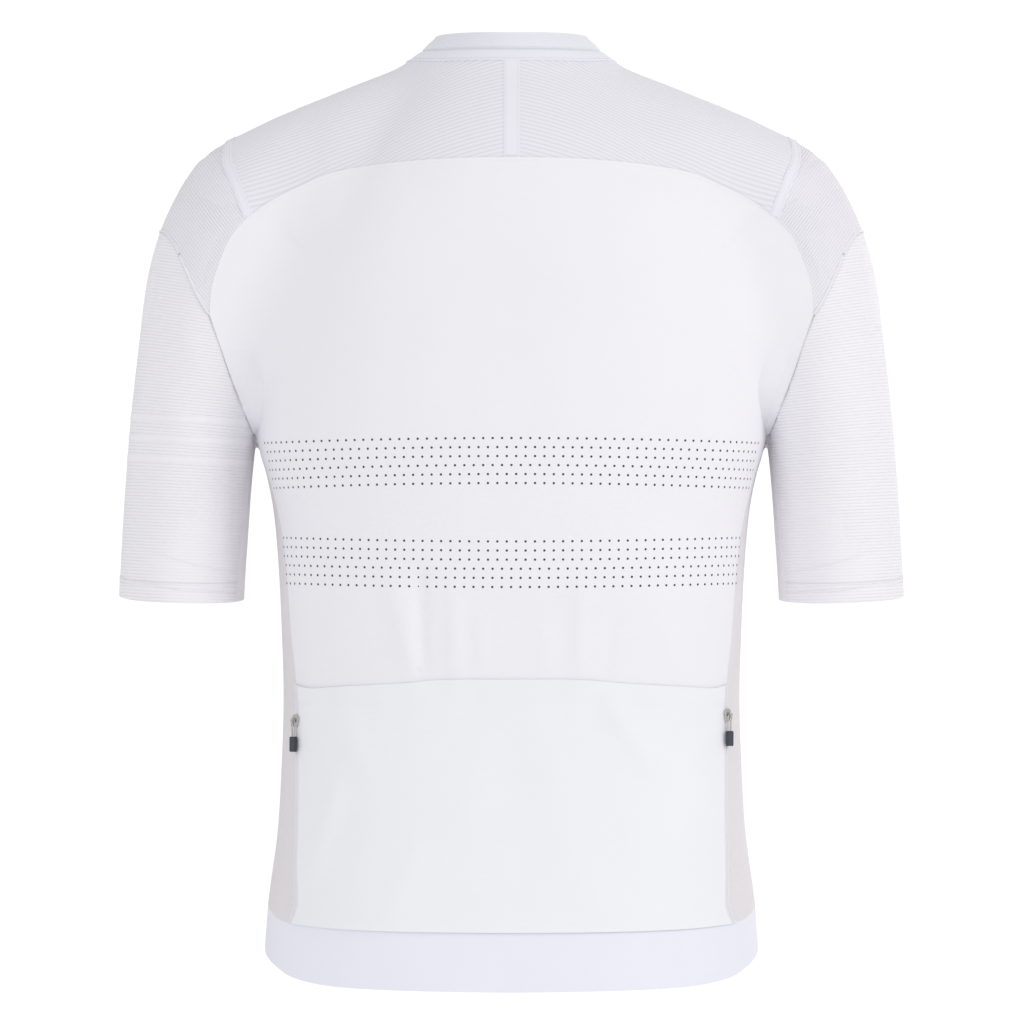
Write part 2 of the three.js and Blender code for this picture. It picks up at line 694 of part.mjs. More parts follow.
// Under the arm the seam runs along the top of the notch between sleeve and trunk
function underarmLine(backEnd, frontEnd, side) {
  const up = new THREE.Vector3(0, 0, 1);
  const notchAt = (x, y) => cast(new THREE.Vector3(x, y, UNDERARM_START_Z), up, side, 0, 120, false);
  const inner = UNDERARM_DEPTHS.map((y) => notchAt(UNDERARM_X, y));
  const line = evenly([backEnd, ...inner, frontEnd], CELLS.underarm);
  const settled = line.map((point) => notchAt(point.x, point.y));
  settled[0] = backEnd.clone();
  settled[CELLS.underarm] = frontEnd.clone();
  return settled;
}

// Between yoke and cap the tape goes from the back corner over the shoulder to the front corner
function shoulderLine(backEnd, frontEnd, side) {
  const behind = seenFromBehind(SHOULDER_SEAM, 3, side);
  return chartCurve(yokeChart, [backEnd, ...behind.slice(1), frontEnd], CELLS.capSeam, side);
}

function capSeamLine(backEnd, frontEnd, side) {
  const [seen] = seenFromBehind([CAP_SEAM_SEEN, CAP_SEAM_OUTER], 1, side);
  const { place } = nearestStation(CAP_SEAM_OUTER.x, CAP_SEAM_OUTER.z);
  const outer = armChart.place([place, 0], side);
  const hidden = armChart.place([armChart.read(seen)[0], -armChart.read(seen)[1]], side);
  return chartCurve(armChart, [backEnd, seen, outer, hidden, frontEnd], CELLS.capSeam, side);
}

function sideLines(lines, side) {
  const armpit = lines.sleeveBack.at(-1);
  const angleAt = column([...SIDE_SEAM, {
    height: trunkChart.read(armpit)[1], angle: trunkChart.read(armpit)[0],
  }], 'height', 'angle');
  const seamPoint = (height) => trunkChart.place([angleAt(height), height], side);
  const pocketHeight = lines.pocketTop.at(-1).z;
  const hemAngle = angleAt(SIDE_SEAM_FOOT_Z);
  const upper = Array.from({ length: CELLS.sideUpper + 1 },
    (_, index) => seamPoint(lerp(pocketHeight, armpit.z, index / CELLS.sideUpper)));
  upper[CELLS.sideUpper] = armpit.clone();
  const lower = Array.from({ length: CELLS.sideLower + 1 },
    (_, index) => seamPoint(lerp(hemSeam(hemAngle), pocketHeight, index / CELLS.sideLower)));
  const pocketTop = lines.pocketTop.map((point) => point.clone());
  pocketTop[CELLS.arch] = upper[0].clone();
  return { sideUpper: upper, sideLower: lower, pocketTop, hemAngle };
}

function neckLines(lines, side) {
  const tapeAngle = neckAngleAt(TAPE_HALF, side, true);
  const zipAngle = neckAngleAt(FRONT_ZIP_HALF, side, false);
  const back = neckLine(tapeAngle, YOKE_FRONT_NECK_ANGLE, CELLS.neckBack, side);
  const front = neckLine(YOKE_FRONT_NECK_ANGLE, zipAngle, CELLS.neckFront, side);
  const centre = chartCurve(yokeChart, [lines.arch[0], back[0]], CELLS.centreEdge, side);
  const yokeFront = chartCurve(yokeChart, [back.at(-1), lines.capFront[0]], CELLS.arch, side);
  return { tapeAngle, zipAngle, neckBack: back, neckFront: front, centreEdge: centre, yokeFront };
}

// Front edge beside the zip, from the hem's lower edge to the neck seam
const FRONT_ROWS = CELLS.sideLower + CELLS.sideUpper + CELLS.underarm + CELLS.sleeveBack + CELLS.capBack;
const FRONT_HEIGHTS = [
  { row: 0, height: hemSeam(90) },
  { row: CELLS.sideLower, height: -428 },
  { row: CELLS.sideLower + CELLS.sideUpper, height: -285 },
  { row: FRONT_ROWS - CELLS.capBack - CELLS.sleeveBack, height: -236 },
  { row: FRONT_ROWS - CELLS.capBack, height: -140 },
  { row: FRONT_ROWS, height: neckSeam(90) },
];

function zipEdge(heights, side) {
  const back = new THREE.Vector3(0, -1, 0);
  return heights.map((height) => cast(
    new THREE.Vector3(FRONT_ZIP_HALF, AHEAD.startY, height), back, side, 0, AHEAD.startY, false));
}

function frontEdge(lines, side) {
  const heightAt = column(FRONT_HEIGHTS, 'row', 'height');
  const heights = Array.from({ length: FRONT_ROWS + 1 }, (_, row) => heightAt(row));
  const edge = zipEdge(heights, side);
  edge[FRONT_ROWS] = lines.neckFront.at(-1).clone();
  return edge;
}

function hemLines(lines, side, edge) {
  const columns = CELLS.arch + CELLS.neckFront;
  const startAngle = trunkChart.read(edge[0])[0];
  const angles = Array.from({ length: columns + 1 },
    (_, index) => lerp(startAngle, lines.hemAngle, index / columns));
  const seam = angles.map((angle) => hemPoint(angle, hemSeam, side));
  seam[0] = edge[0].clone();
  seam[columns] = lines.sideLower[0].clone();
  return { seam, low: angles.map((angle) => hemPoint(angle, hemEdge, side)) };
}

// Back panel, pocket and the back of the hem band, from left side seam to right side seam
function addBack(left, right) {
  const acrossTop = along(mirror(backwards(left.arch)), right.arch);
  const columns = acrossTop.length - 1;
  const backHem = Array.from({ length: columns + 1 }, (_, index) => {
    const angle = lerp(-180 - left.hemAngle, right.hemAngle, index / columns);
    const half = angle < -90 ? -180 - angle : angle;
    return { half, sign: angle < -90 ? -1 : 1 };
  });
  const hemAt = (height) => backHem.map(({ half, sign }) => {
    const point = hemPoint(half, height, sign);
    return new THREE.Vector3(sign * point.x, point.y, point.z);
  });
  const seam = hemAt(hemSeam);
  seam[0] = mirror([left.sideLower[0]])[0];
  seam[columns] = right.sideLower[0].clone();
  const pocketLine = pocketTopLine(left, right, columns);
  const lower = patch(trunkChart, seam, pocketLine, mirror(left.sideLower), right.sideLower, 1);
  const upperNear = mirror(along(left.sideUpper, backwards(left.sleeveBack), backwards(left.capBack)));
  const upperFar = along(right.sideUpper, backwards(right.sleeveBack), backwards(right.capBack));
  const upper = patch(trunkChart, pocketLine, acrossTop, upperNear, upperFar, 1);
  addCloth('back_panel', along(lower, upper), 1, 'back');
  addPocket(lower);
  addCloth('hem_band_back', between(hemAt(hemEdge), seam, CELLS.hem), 1, 'band');
}

function pocketTopLine(left, right, columns) {
  const both = along(mirror(backwards(left.pocketTop)), right.pocketTop);
  return chartCurve(trunkChart, both, columns, 1);
}

// The pocket panel and its two zip strips: the back panel's own points, moved out
function addPocket(lower) {
  const columns = lower[0].length - 1;
  const lift = LAYER_GAP + WALL;
  const cut = (line, from, to) => {
    const shift = (end, next, width) => line[end].clone().lerp(
      line[next], width / line[end].distanceTo(line[next]));
    return [shift(from.end, from.next, from.width), shift(to.end, to.next, to.width)];
  };
  const rightEnds = { end: columns, next: columns - 1 };
  const leftEnds = { end: 0, next: 1 };
  const panel = lower.map((line) => {
    const [first, last] = cut(line, { ...leftEnds, width: POCKET_ZIP_WIDTH },
      { ...rightEnds, width: POCKET_ZIP_WIDTH });
    return [first, ...line.slice(1, columns), last];
  });
  addCloth('pocket_panel', panel, 1, 'pocket', lift);
  for (const [name, ends] of [['left', leftEnds], ['right', rightEnds]]) {
    const strip = lower.map((line) => cut(line, { ...ends, width: 0 }, { ...ends, width: POCKET_ZIP_WIDTH }));
    addCloth(`pocket_zip_${name}`, strip, 1, 'zip', lift);
  }
}

// Front and side of one half
function addFront(name, lines, side) {
  const edge = frontEdge(lines, side);
  const hem = hemLines(lines, side, edge);
  const top = along(backwards(lines.neckFront), lines.yokeFront);
  const far = along(lines.sideLower, lines.sideUpper, lines.underarm,
    backwards(lines.sleeveFront), backwards(lines.capFront));
  addCloth(`front_${name}`, patch(trunkChart, hem.seam, top, edge, far, side), side, 'side');
  addCloth(`hem_band_${name}`, between(hem.low, hem.seam, CELLS.hem), side, 'band');
  return edge;
}

function addYoke(name, lines, side) {
  const near = along(lines.centreEdge, lines.neckBack);
  const grid = patch(yokeChart, lines.arch, lines.yokeFront, near, lines.shoulder, side);
  addCloth(`yoke_${name}`, grid, side, 'yoke', 0, WALL, { ...ALL_SEAMS, far: TAPE_SIDE });
}

function addCap(name, lines, side) {
  const grid = patch(armChart, lines.capSeam, lines.shoulder,
    backwards(lines.capBack), backwards(lines.capFront), side);
  addCloth(`sleeve_cap_${name}`, grid, side, 'cap', 0, WALL, { ...ALL_SEAMS, high: TAPE_SIDE });
}

// The shoulder tape lies between yoke and cap, on both sides of their common line
function addShoulderTape(name, lines, side) {
  const half = SHOULDER_TAPE_WIDTH / 2;
  const yokeEnds = [lines.arch.at(-2), lines.yokeFront.at(-2)];
  const capEnds = [lines.capBack[1], lines.capFront[1]];
  const shifted = (sign, ends) => lines.shoulder.map((point, index, line) => {
    const last = index === line.length - 1;
    const before = line[Math.max(index - 1, 0)];
    const after = line[last ? index : index + 1];
    const edge = after.clone().sub(before).normalize();
    if (index > 0 && !last) {
      return point.clone().addScaledVector(edge.cross(skinNormal(point, side)), sign * half);
    }
    const aside = ends[last ? 1 : 0].clone().sub(point).normalize();
    const lean = aside.dot(edge);
    return point.clone().addScaledVector(aside, half / Math.sqrt(1 - lean * lean));
  });
  const towardsCap = lines.shoulder[1].clone().sub(lines.shoulder[0])
    .cross(skinNormal(lines.shoulder[0], side)).dot(capEnds[0].clone().sub(lines.shoulder[0])) > 0 ? 1 : -1;
  const grid = [shifted(-towardsCap, yokeEnds), lines.shoulder, shifted(towardsCap, capEnds)];
  addCloth(`shoulder_tape_${name}`, grid, side, 'tape', TAPE_PROUD, WALL + TAPE_PROUD);
}

function cuffPoint(turn, side) {
  const share = (1 + Math.cos(toRadians(turn))) / 2;
  const height = lerp(CUFF_INNER_Z, CUFF_OUTER_Z, share) - CUFF_SAG * Math.abs(Math.sin(toRadians(turn)));
  const origin = new THREE.Vector3(0, 0, height);
  const { place } = nearestStation(CUFF_CENTRE_X, height);
  origin.x = stationAt(place).x;
  const angle = toRadians(turn);
  return cast(origin, new THREE.Vector3(Math.cos(angle), -Math.sin(angle), 0), side, 5, 120, true);
}

function addSleeve(name, lines, side) {
  const columns = CELLS.capSeam + 2 * CELLS.sleeveBack;
  const top = along(backwards(lines.sleeveBack), lines.capSeam, lines.sleeveFront);
  const backEnd = cuffPoint(STRIP_BACK_TURN, side);
  const frontEnd = cuffPoint(STRIP_FRONT_TURN - 360, side);
  const low = Array.from({ length: columns + 1 },
    (_, index) => cuffPoint(lerp(STRIP_BACK_TURN, STRIP_FRONT_TURN - 360, index / columns), side));
  const backLine = chartCurve(armChart, [backEnd, top[0]], CELLS.cuff, side);
  const frontLine = chartCurve(frontChart, [frontEnd, top[columns]], CELLS.cuff, side);
  addCloth(`sleeve_${name}`, patch(sleeveChart, low, top, backLine, frontLine, side), side, 'sleeve');
  const stripLow = Array.from({ length: CELLS.underarm + 1 },
    (_, index) => cuffPoint(lerp(STRIP_BACK_TURN, STRIP_FRONT_TURN, index / CELLS.underarm), side));
  const strip = patch(underChart, stripLow, lines.underarm, backLine, frontLine, side);
  addCloth(`underarm_strip_${name}`, strip, side, 'strip', 0, WALL, { ...ALL_SEAMS, high: 2 * SEAM_GAP });
}

function addCentreTape(left, right) {
  const leftLine = mirror(left.centreEdge);
  const grid = between(leftLine, right.centreEdge, 2);
  const settled = grid.map((line) => line.map((point) => yokeChart.place(yokeChart.read(point), 1)));
  settled[0] = leftLine;
  settled[2] = right.centreEdge;
  addCloth('back_tape', settled, 1, 'tape', TAPE_PROUD, WALL + TAPE_PROUD);
}

// Collar: a ring of the skin from neck seam to rim, open at the front zip
function collarLine(left, right, share) {
  const halfLine = (lines, side) => along(
    neckLine(lines.zipAngle, YOKE_FRONT_NECK_ANGLE, CELLS.neckFront, side, share),
    neckLine(YOKE_FRONT_NECK_ANGLE, lines.tapeAngle, CELLS.neckBack, side, share));
  return [...halfLine(right, 1), ...mirror(backwards(halfLine(left, -1)))];
}

function addCollar(left, right) {
  const grid = Array.from({ length: CELLS.collar + 1 },
    (_, row) => collarLine(left, right, row / CELLS.collar));
  addCloth('collar', grid, 1, 'collar', 0.3, COLLAR_WALL);
  return grid;
}

// Front zip: one strip from the hem's edge to the collar's rim
function addFrontZip(leftEdge, rightEdge, collar) {
  const lowHeights = [hemEdge(90), (hemEdge(90) + hemSeam(90)) / 2];
  const right = [...zipEdge(lowHeights, 1), ...rightEdge, ...collar.slice(1).map((line) => line[0])];
  const left = [...zipEdge(lowHeights, -1), ...leftEdge];
  const leftLine = [...mirror(left), ...collar.slice(1).map((line) => line.at(-1))];
  addCloth('front_zip', between(leftLine, right, 1), 1, 'zip');
  return right;
}

// Zip sliders and pulls, drawn flat: X across the zip, Y up along it, Z off the cloth
const SLIDER = { width: 6.4, length: 9, height: 1.9, bailThick: 1.2, bailOuter: 1.95, eye: 0.95 };
const WIRE = { radius: 0.5, sides: 8, top: 2.3, length: 13.8, footHalf: 1.3, steps: 10 };
const TAB = { width: 6.4, length: 10.4, thick: 2.2, corner: 1.1, wireDepth: 3.2 };
const PULL_HEIGHT = LAYER_GAP + SLIDER.height + 1.0;

function toSolid(geometry) {
  const bare = geometry.clone();
  bare.deleteAttribute('normal');
  bare.deleteAttribute('uv');
  const merged = mergeVertices(bare, 1e-4);
  const mesh = new wasm.Mesh({
    numProp: 3,
    vertProperties: new Float32Array(merged.attributes.position.array),
    triVerts: new Uint32Array(merged.index.array),
  });
  return new wasm.Manifold(mesh);
}

function fromSolid(solid) {
  const mesh = solid.getMesh();
  const geometry = new THREE.BufferGeometry();
  geometry.setAttribute('position', new THREE.BufferAttribute(new Float32Array(mesh.vertProperties), 3));
  geometry.setIndex(Array.from(mesh.triVerts));
  return geometry;
}

function sliderGeometry() {
  const { width, length, height, bailThick, bailOuter, eye } = SLIDER;
  const outline = new THREE.Shape();
  outline.moveTo(-width / 2, length * 0.12);
  outline.lineTo(-width * 0.28, -length / 2);
  outline.lineTo(width * 0.28, -length / 2);
  outline.lineTo(width / 2, length * 0.12);
  outline.absarc(0, length * 0.12, width / 2, 0, Math.PI, false);
  const body = new THREE.ExtrudeGeometry(outline, { depth: height, bevelEnabled: false, curveSegments: 8 });
  body.translate(0, 0, LAYER_GAP);
  const arch = new THREE.Shape();
  arch.moveTo(-bailOuter, -1.3);
  arch.lineTo(bailOuter, -1.3);
  arch.lineTo(bailOuter, 0);
  arch.absarc(0, 0, bailOuter, 0, Math.PI, false);
  const hole = new THREE.Path();
  hole.absarc(0, 0, eye, 0, 2 * Math.PI, true);
  arch.holes.push(hole);
  const bail = new THREE.ExtrudeGeometry(arch, { depth: bailThick, bevelEnabled: false, curveSegments: 8 });
  bail.translate(0, 0, -bailThick / 2);
  bail.rotateY(Math.PI / 2);
  bail.rotateX(Math.PI / 2);
  bail.translate(0, 0, PULL_HEIGHT);
  return fromSolid(toSolid(body).add(toSolid(bail)));
}

// The wire's closed line: a round top hung in the bail, legs that close in, and a short foot
function wireLine() {
  const { top, length, footHalf, steps } = WIRE;
  const points = [];
  for (let step = 0; step <= steps; step += 1) {
    const angle = lerp(-0.25, 1.25, step / steps) * Math.PI;
    points.push(new THREE.Vector3(top * Math.cos(angle), top * Math.sin(angle) - top, 0));
  }
  points.push(new THREE.Vector3(-footHalf, -length * 0.7, 0));
  points.push(new THREE.Vector3(-footHalf, -length, 0));
  points.push(new THREE.Vector3(footHalf, -length, 0));
  points.push(new THREE.Vector3(footHalf, -length * 0.7, 0));
  return points;
}

function wireGeometry(radius) {
  const line = wireLine();
  const count = line.length;
  const { sides } = WIRE;
  const positions = [];
  line.forEach((point, index) => {
    const before = line[(index + count - 1) % count];
    const after = line[(index + 1) % count];
    const into = point.clone().sub(before).normalize();
    const out = after.clone().sub(point).normalize();
    const tangent = into.add(out).normalize();
    const widen = 1 / Math.max(tangent.dot(out), 0.5);
    const aside = new THREE.Vector3(-tangent.y, tangent.x, 0);
    for (let step = 0; step < sides; step += 1) {
      const angle = 2 * Math.PI * step / sides;
      const spot = point.clone().addScaledVector(aside, radius * widen * Math.cos(angle));
      positions.push(spot.x, spot.y, radius * Math.sin(angle));
    }
  });
  const faces = [];
  for (let ring = 0; ring < count; ring += 1) {
    const next = (ring + 1) % count;
    for (let step = 0; step < sides; step += 1) {
      const turn = (step + 1) % sides;
      const [a, b] = [ring * sides + step, next * sides + step];
      const [c, d] = [next * sides + turn, ring * sides + turn];
      faces.push(a, b, c, a, c, d);
    }
  }
  const geometry = new THREE.BufferGeometry();
  geometry.setAttribute('position', new THREE.BufferAttribute(new Float32Array(positions), 3));
  geometry.setIndex(faces);
  const solid = toSolid(geometry);
  return solid.volume() > 0 ? geometry : flipped(geometry);
}

function flipped(geometry) {
  const faces = Array.from(geometry.index.array);
  const turnedFaces = [];
  for (let at = 0; at < faces.length; at += 3) {
    turnedFaces.push(faces[at], faces[at + 2], faces[at + 1]);
  }
  geometry.setIndex(turnedFaces);
  return geometry;
}

function tabGeometry() {
  const { width, length, thick, corner, wireDepth } = TAB;
  const top = -WIRE.length + wireDepth - WIRE.radius;
  const half = width / 2;
  const shape = new THREE.Shape();
  shape.moveTo(half - corner, top - length);
  shape.absarc(half - corner, top - length + corner, corner, -Math.PI / 2, 0, false);
  shape.absarc(half - corner, top - corner, corner, 0, Math.PI / 2, false);
  shape.absarc(-half + corner, top - corner, corner, Math.PI / 2, Math.PI, false);
  shape.absarc(-half + corner, top - length + corner, corner, Math.PI, 1.5 * Math.PI, false);
  const block = new THREE.ExtrudeGeometry(shape, { depth: thick, bevelEnabled: false, curveSegments: 3 });
  block.translate(0, 0, -thick / 2);
  const clearance = wireGeometry(WIRE.radius + LAYER_GAP);
  return fromSolid(toSolid(block).subtract(toSolid(clearance)));
}

// The front pull: one flat metal tongue with an eye for the bail
const TONGUE = {
  barHalf: 0.5, eyeHalf: 1.1, eyeEnd: 2.7, topHalf: 2.3, width: 5, length: 16, thick: 1, lean: 17,
};

function metalPullGeometry() {
  const { barHalf, eyeHalf, eyeEnd, topHalf, width, length, thick } = TONGUE;
  const shape = new THREE.Shape();
  shape.moveTo(-width / 2, -length + width / 2);
  shape.absarc(0, -length + width / 2, width / 2, Math.PI, 2 * Math.PI, false);
  shape.lineTo(topHalf, -eyeEnd - 1);
  shape.lineTo(topHalf, barHalf);
  shape.lineTo(-topHalf, barHalf);
  shape.lineTo(-topHalf, -eyeEnd - 1);
  const eye = new THREE.Path();
  eye.moveTo(-eyeHalf, -barHalf);
  eye.lineTo(eyeHalf, -barHalf);
  eye.lineTo(eyeHalf, -eyeEnd);
  eye.lineTo(-eyeHalf, -eyeEnd);
  shape.holes.push(eye);
  const plate = new THREE.ExtrudeGeometry(shape, { depth: thick, bevelEnabled: false, curveSegments: 6 });
  plate.translate(0, 0, -thick / 2);
  return plate;
}

// A group that carries slider and pull on the cloth: X across, Y up the zip, Z along the cloth's normal
function zipFrame(point, above, normal) {
  const up = above.clone().sub(point);
  up.addScaledVector(normal, -up.dot(normal)).normalize();
  const across = up.clone().cross(normal);
  const frame = new THREE.Group();
  frame.matrixAutoUpdate = false;
  frame.matrix.makeBasis(across, up, normal).setPosition(point);
  jersey.add(frame);
  return frame;
}

function addSliderAndPull(names, frame) {
  addPiece(names.slider, sliderGeometry(), 'metal', frame);
  const pull = new THREE.Group();
  pull.position.set(0, 0, PULL_HEIGHT);
  frame.add(pull);
  if (names.wire) {
    addPiece(names.wire, wireGeometry(WIRE.radius), 'metal', pull);
    addPiece(names.tab, tabGeometry(), 'rubber', pull);
  } else {
    pull.rotation.x = -toRadians(TONGUE.lean);
    addPiece(names.tab, metalPullGeometry(), 'metal', pull);
  }
}

// Pocket pulls, on the strips beside the pocket, as high as they are worn
const POCKET_SLIDER_HEIGHT = { left: -460, right: -456 };
const FRONT_SLIDER_HEIGHT = -50;

function addPocketPull(name, lines, side) {
  const flip = (spot) => new THREE.Vector3(side * spot.x, spot.y, spot.z);
  const outer = lines.sideLower;
  const index = outer.findIndex((point) => point.z > POCKET_SLIDER_HEIGHT[name]);
  const share = (POCKET_SLIDER_HEIGHT[name] - outer[index - 1].z) / (outer[index].z - outer[index - 1].z);
  const seam = outer[index - 1].clone().lerp(outer[index], share);
  const [angle, height] = trunkChart.read(seam);
  const inner = trunkChart.place([angle - 2, height], side);
  const across = inner.clone().sub(seam).normalize();
  const point = seam.clone().addScaledVector(across, POCKET_ZIP_WIDTH / 2);
  const normal = skinNormal(point, side);
  point.addScaledVector(normal, LAYER_GAP + WALL);
  const above = outer[index].clone().sub(outer[index - 1]).add(point);
  addSliderAndPull({ slider: `pocket_slider_${name}`, wire: `pull_wire_${name}`, tab: `pull_tab_${name}` },
    zipFrame(flip(point), flip(above), flip(normal)));
}

function addFrontPull(line) {
  const index = line.findIndex((point) => point.z > FRONT_SLIDER_HEIGHT);
  const share = (FRONT_SLIDER_HEIGHT - line[index - 1].z) / (line[index].z - line[index - 1].z);
  const point = line[index - 1].clone().lerp(line[index], share);
  const above = line[index].clone();
  const normal = skinNormal(point, 1);
  for (const spot of [point, above, normal]) {
    spot.x = 0;
  }
  addSliderAndPull({ slider: 'front_slider', wire: null, tab: 'front_pull' }, zipFrame(point, above, normal));
}

const left = seamsOf(-1);
const right = seamsOf(1);
addBack(left, right);
addYoke('left', left, -1);
addYoke('right', right, 1);
addCap('left', left, -1);
addCap('right', right, 1);
addShoulderTape('left', left, -1);
addShoulderTape('right', right, 1);
addSleeve('left', left, -1);
addSleeve('right', right, 1);
addCentreTape(left, right);
const leftEdge = addFront('left', left, -1);
const rightEdge = addFront('right', right, 1);
const collarGrid = addCollar(left, right);
const zipLine = addFrontZip(leftEdge, rightEdge, collarGrid);
addPocketPull('left', left, -1);
addPocketPull('right', right, 1);
addFrontPull(zipLine);

export default jersey;
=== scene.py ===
# %% [markdown]
# # A cycling jersey in its worn shape, with nobody in it
# The jersey is light knitted cloth, cut in about twenty pieces and sewn with flat seams.
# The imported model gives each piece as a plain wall. This file puts a finer shell in each place,
# with its ribs, hems, stitches, printed dots and soft creases.
# Every length is worked out in millimetres and turned into metres when a mesh is made.

# %% Load the frame and keep its box
import math

import bpy
import numpy as np
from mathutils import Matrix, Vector


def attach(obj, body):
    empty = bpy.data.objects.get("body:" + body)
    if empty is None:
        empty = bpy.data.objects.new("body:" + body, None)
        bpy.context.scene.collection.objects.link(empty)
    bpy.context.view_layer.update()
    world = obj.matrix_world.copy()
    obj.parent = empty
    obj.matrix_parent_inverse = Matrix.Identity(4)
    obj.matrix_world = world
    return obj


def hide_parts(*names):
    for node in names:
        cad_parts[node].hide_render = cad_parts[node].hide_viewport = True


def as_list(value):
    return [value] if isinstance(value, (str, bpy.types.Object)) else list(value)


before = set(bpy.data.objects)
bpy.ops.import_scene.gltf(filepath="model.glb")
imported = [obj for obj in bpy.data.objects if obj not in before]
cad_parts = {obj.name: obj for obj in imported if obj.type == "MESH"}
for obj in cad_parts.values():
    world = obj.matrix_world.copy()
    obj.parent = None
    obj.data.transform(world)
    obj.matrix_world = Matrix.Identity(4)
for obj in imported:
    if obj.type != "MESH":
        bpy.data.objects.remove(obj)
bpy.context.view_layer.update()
MM = 0.001

# %% [markdown]
# ## The body of cloth
# All pieces lie on one skin: stacked ovals for the trunk, a bent tube for each arm, joined softly.
# It could be modelled by hand with a subdivided cage. A worked-out skin is better here, because each
# seam can then be cut on it exactly, and neighbouring pieces share the same line.
# The tables hold a few measured rows each, and smooth curves run between them.

# %% Tables of the cut
def table(names, rows):
    """Named columns from short rows."""
    return dict(zip(names.split(), np.array(rows, float).T))


TRUNK = table("height half back front square", [
    (30, 44, 49, 46, 2.0), (13, 54, 54, 50, 2.0), (-1.4, 67, 60, 54, 2.0), (-15, 76, 67, 56, 2.1),
    (-35, 95, 79, 59, 2.2), (-60, 118, 91, 65, 2.3), (-90, 138, 101, 82, 2.4), (-130, 156, 110, 100, 2.4),
    (-175, 168, 115, 110, 2.4), (-225, 175, 116, 114, 2.4), (-262, 177.5, 114, 113, 2.4),
    (-275, 175.6, 113, 112.5, 2.4), (-290, 171.2, 112, 112, 2.4), (-315, 166.3, 109, 110, 2.4),
    (-350, 163, 105, 107, 2.4), (-400, 160.5, 100, 104, 2.4), (-448, 159.3, 97, 103, 2.4),
    (-500, 161, 99, 105, 2.4), (-540, 163.5, 104, 107, 2.4), (-581, 169, 109, 109, 2.4),
    (-612, 172.1, 111, 110, 2.4), (-670, 171.5, 112, 110, 2.4)])
ARM = table("edge_x edge_z radius depth", [
    (60, -1, 30, 40), (80, -7.5, 33, 43), (120, -22.6, 38, 50), (153, -35.5, 43, 56), (183, -49.5, 47, 60),
    (208, -63, 50, 62), (223, -77, 51, 62), (239, -105, 52, 62), (249.6, -133, 51.5, 61),
    (255.9, -161, 50.5, 60), (259.4, -189, 48, 58), (265.7, -245, 44.6, 54), (269.2, -287, 43.9, 52),
    (272, -329, 43.8, 51), (274, -371, 43.5, 50), (275.5, -440, 43.5, 50)])
SIDE_SEAM = table("height angle", [
    (-280, -16.5), (-300, -19.5), (-315, -23.5), (-343, -27.5), (-399, -29.3), (-434, -32), (-485, -33),
    (-550, -36.4), (-585, -39), (-598.5, -36.8)])
HEM = table("angle seam edge", [
    (-90, -600.2, -640.5), (-57, -599.8, -639.3), (-47.5, -599.2, -637.8), (-37.4, -598.2, -634.2),
    (-32, -597.2, -630.6), (-23, -593.5, -626), (-13, -590.5, -622.3), (-3, -588.5, -617.5),
    (15, -583, -609), (40, -577, -602), (90, -574, -599)])
NECK = table("angle seam height", [
    (-90, -6.6, 19.6), (-45, -5.4, 19.6), (0, -2.4, 16.5), (30, -12, 17.5), (60, -40, 21), (90, -58, 23)])
ARCH_SEAM = [(5.6, -67.9), (42, -68.8), (70, -70.7), (98, -73.9), (126, -79.1), (150.5, -89.3),
             (170.5, -99.8), (184.1, -109.2)]
CAP_BACK_SEAM = [(184.1, -109.2), (196.4, -123.6), (205.1, -143.3), (210, -159.6), (211.4, -178.5)]
SLEEVE_BACK_SEAM = [(211.4, -178.5), (209.3, -184.8), (203, -203), (197, -221.4), (189.4, -240.8),
                    (180.3, -261.8)]
SHOULDER_SEAM = [(184.1, -109.2), (192.4, -87.5), (199.2, -69.5)]
POCKET_TOP = [(0, -433.5), (50, -433.8), (75, -436), (120, -438.5), (142, -439.5), (150.2, -436.8)]
CAP_FRONT_SEAM = [(188, -94), (196, -118), (201, -145), (202, -170)]
SLEEVE_FRONT_SEAM = [(202, -170), (199, -200), (190, -236), (178.5, -262)]
print("trunk rows", len(TRUNK["height"]), "arm rows", len(ARM["radius"]))

# %% Places and sizes
WALL = 0.8
COLLAR_WALL = 1.6
LAYER_LIFT = 1.4
TAPE_HALF = 5.6
SHOULDER_TAPE_WIDTH = 6.5
FRONT_ZIP_HALF = 4
POCKET_ZIP_WIDTH = 5
EYE = np.array([0, -3000, -316.4])
PICTURE_PIXELS, MM_PER_PIXEL = 1024, 0.7
SIGHT_START, SIGHT_END = 2810, 3120
AHEAD = 190
CAP_SEAM_SEEN = (234.5, -130.5)
CAP_SEAM_OUTER = (245.5, -119)
YOKE_FRONT_NECK_ANGLE = 22
UNDERARM_X = 178.6
UNDERARM_START_Z = -330
SIDE_SEAM_FOOT_Z = -598.5
CUFF_CENTRE_X = 230.5
CUFF_OUTER_Z, CUFF_INNER_Z, CUFF_SAG = -374.5, -377.5, 3.2
STRIP_BACK_TURN, STRIP_FRONT_TURN = 151, 205
ARM_STATIONS = 44
ARMPIT = {"trunk_limit": 180, "arm_limit": 173, "height": -235}
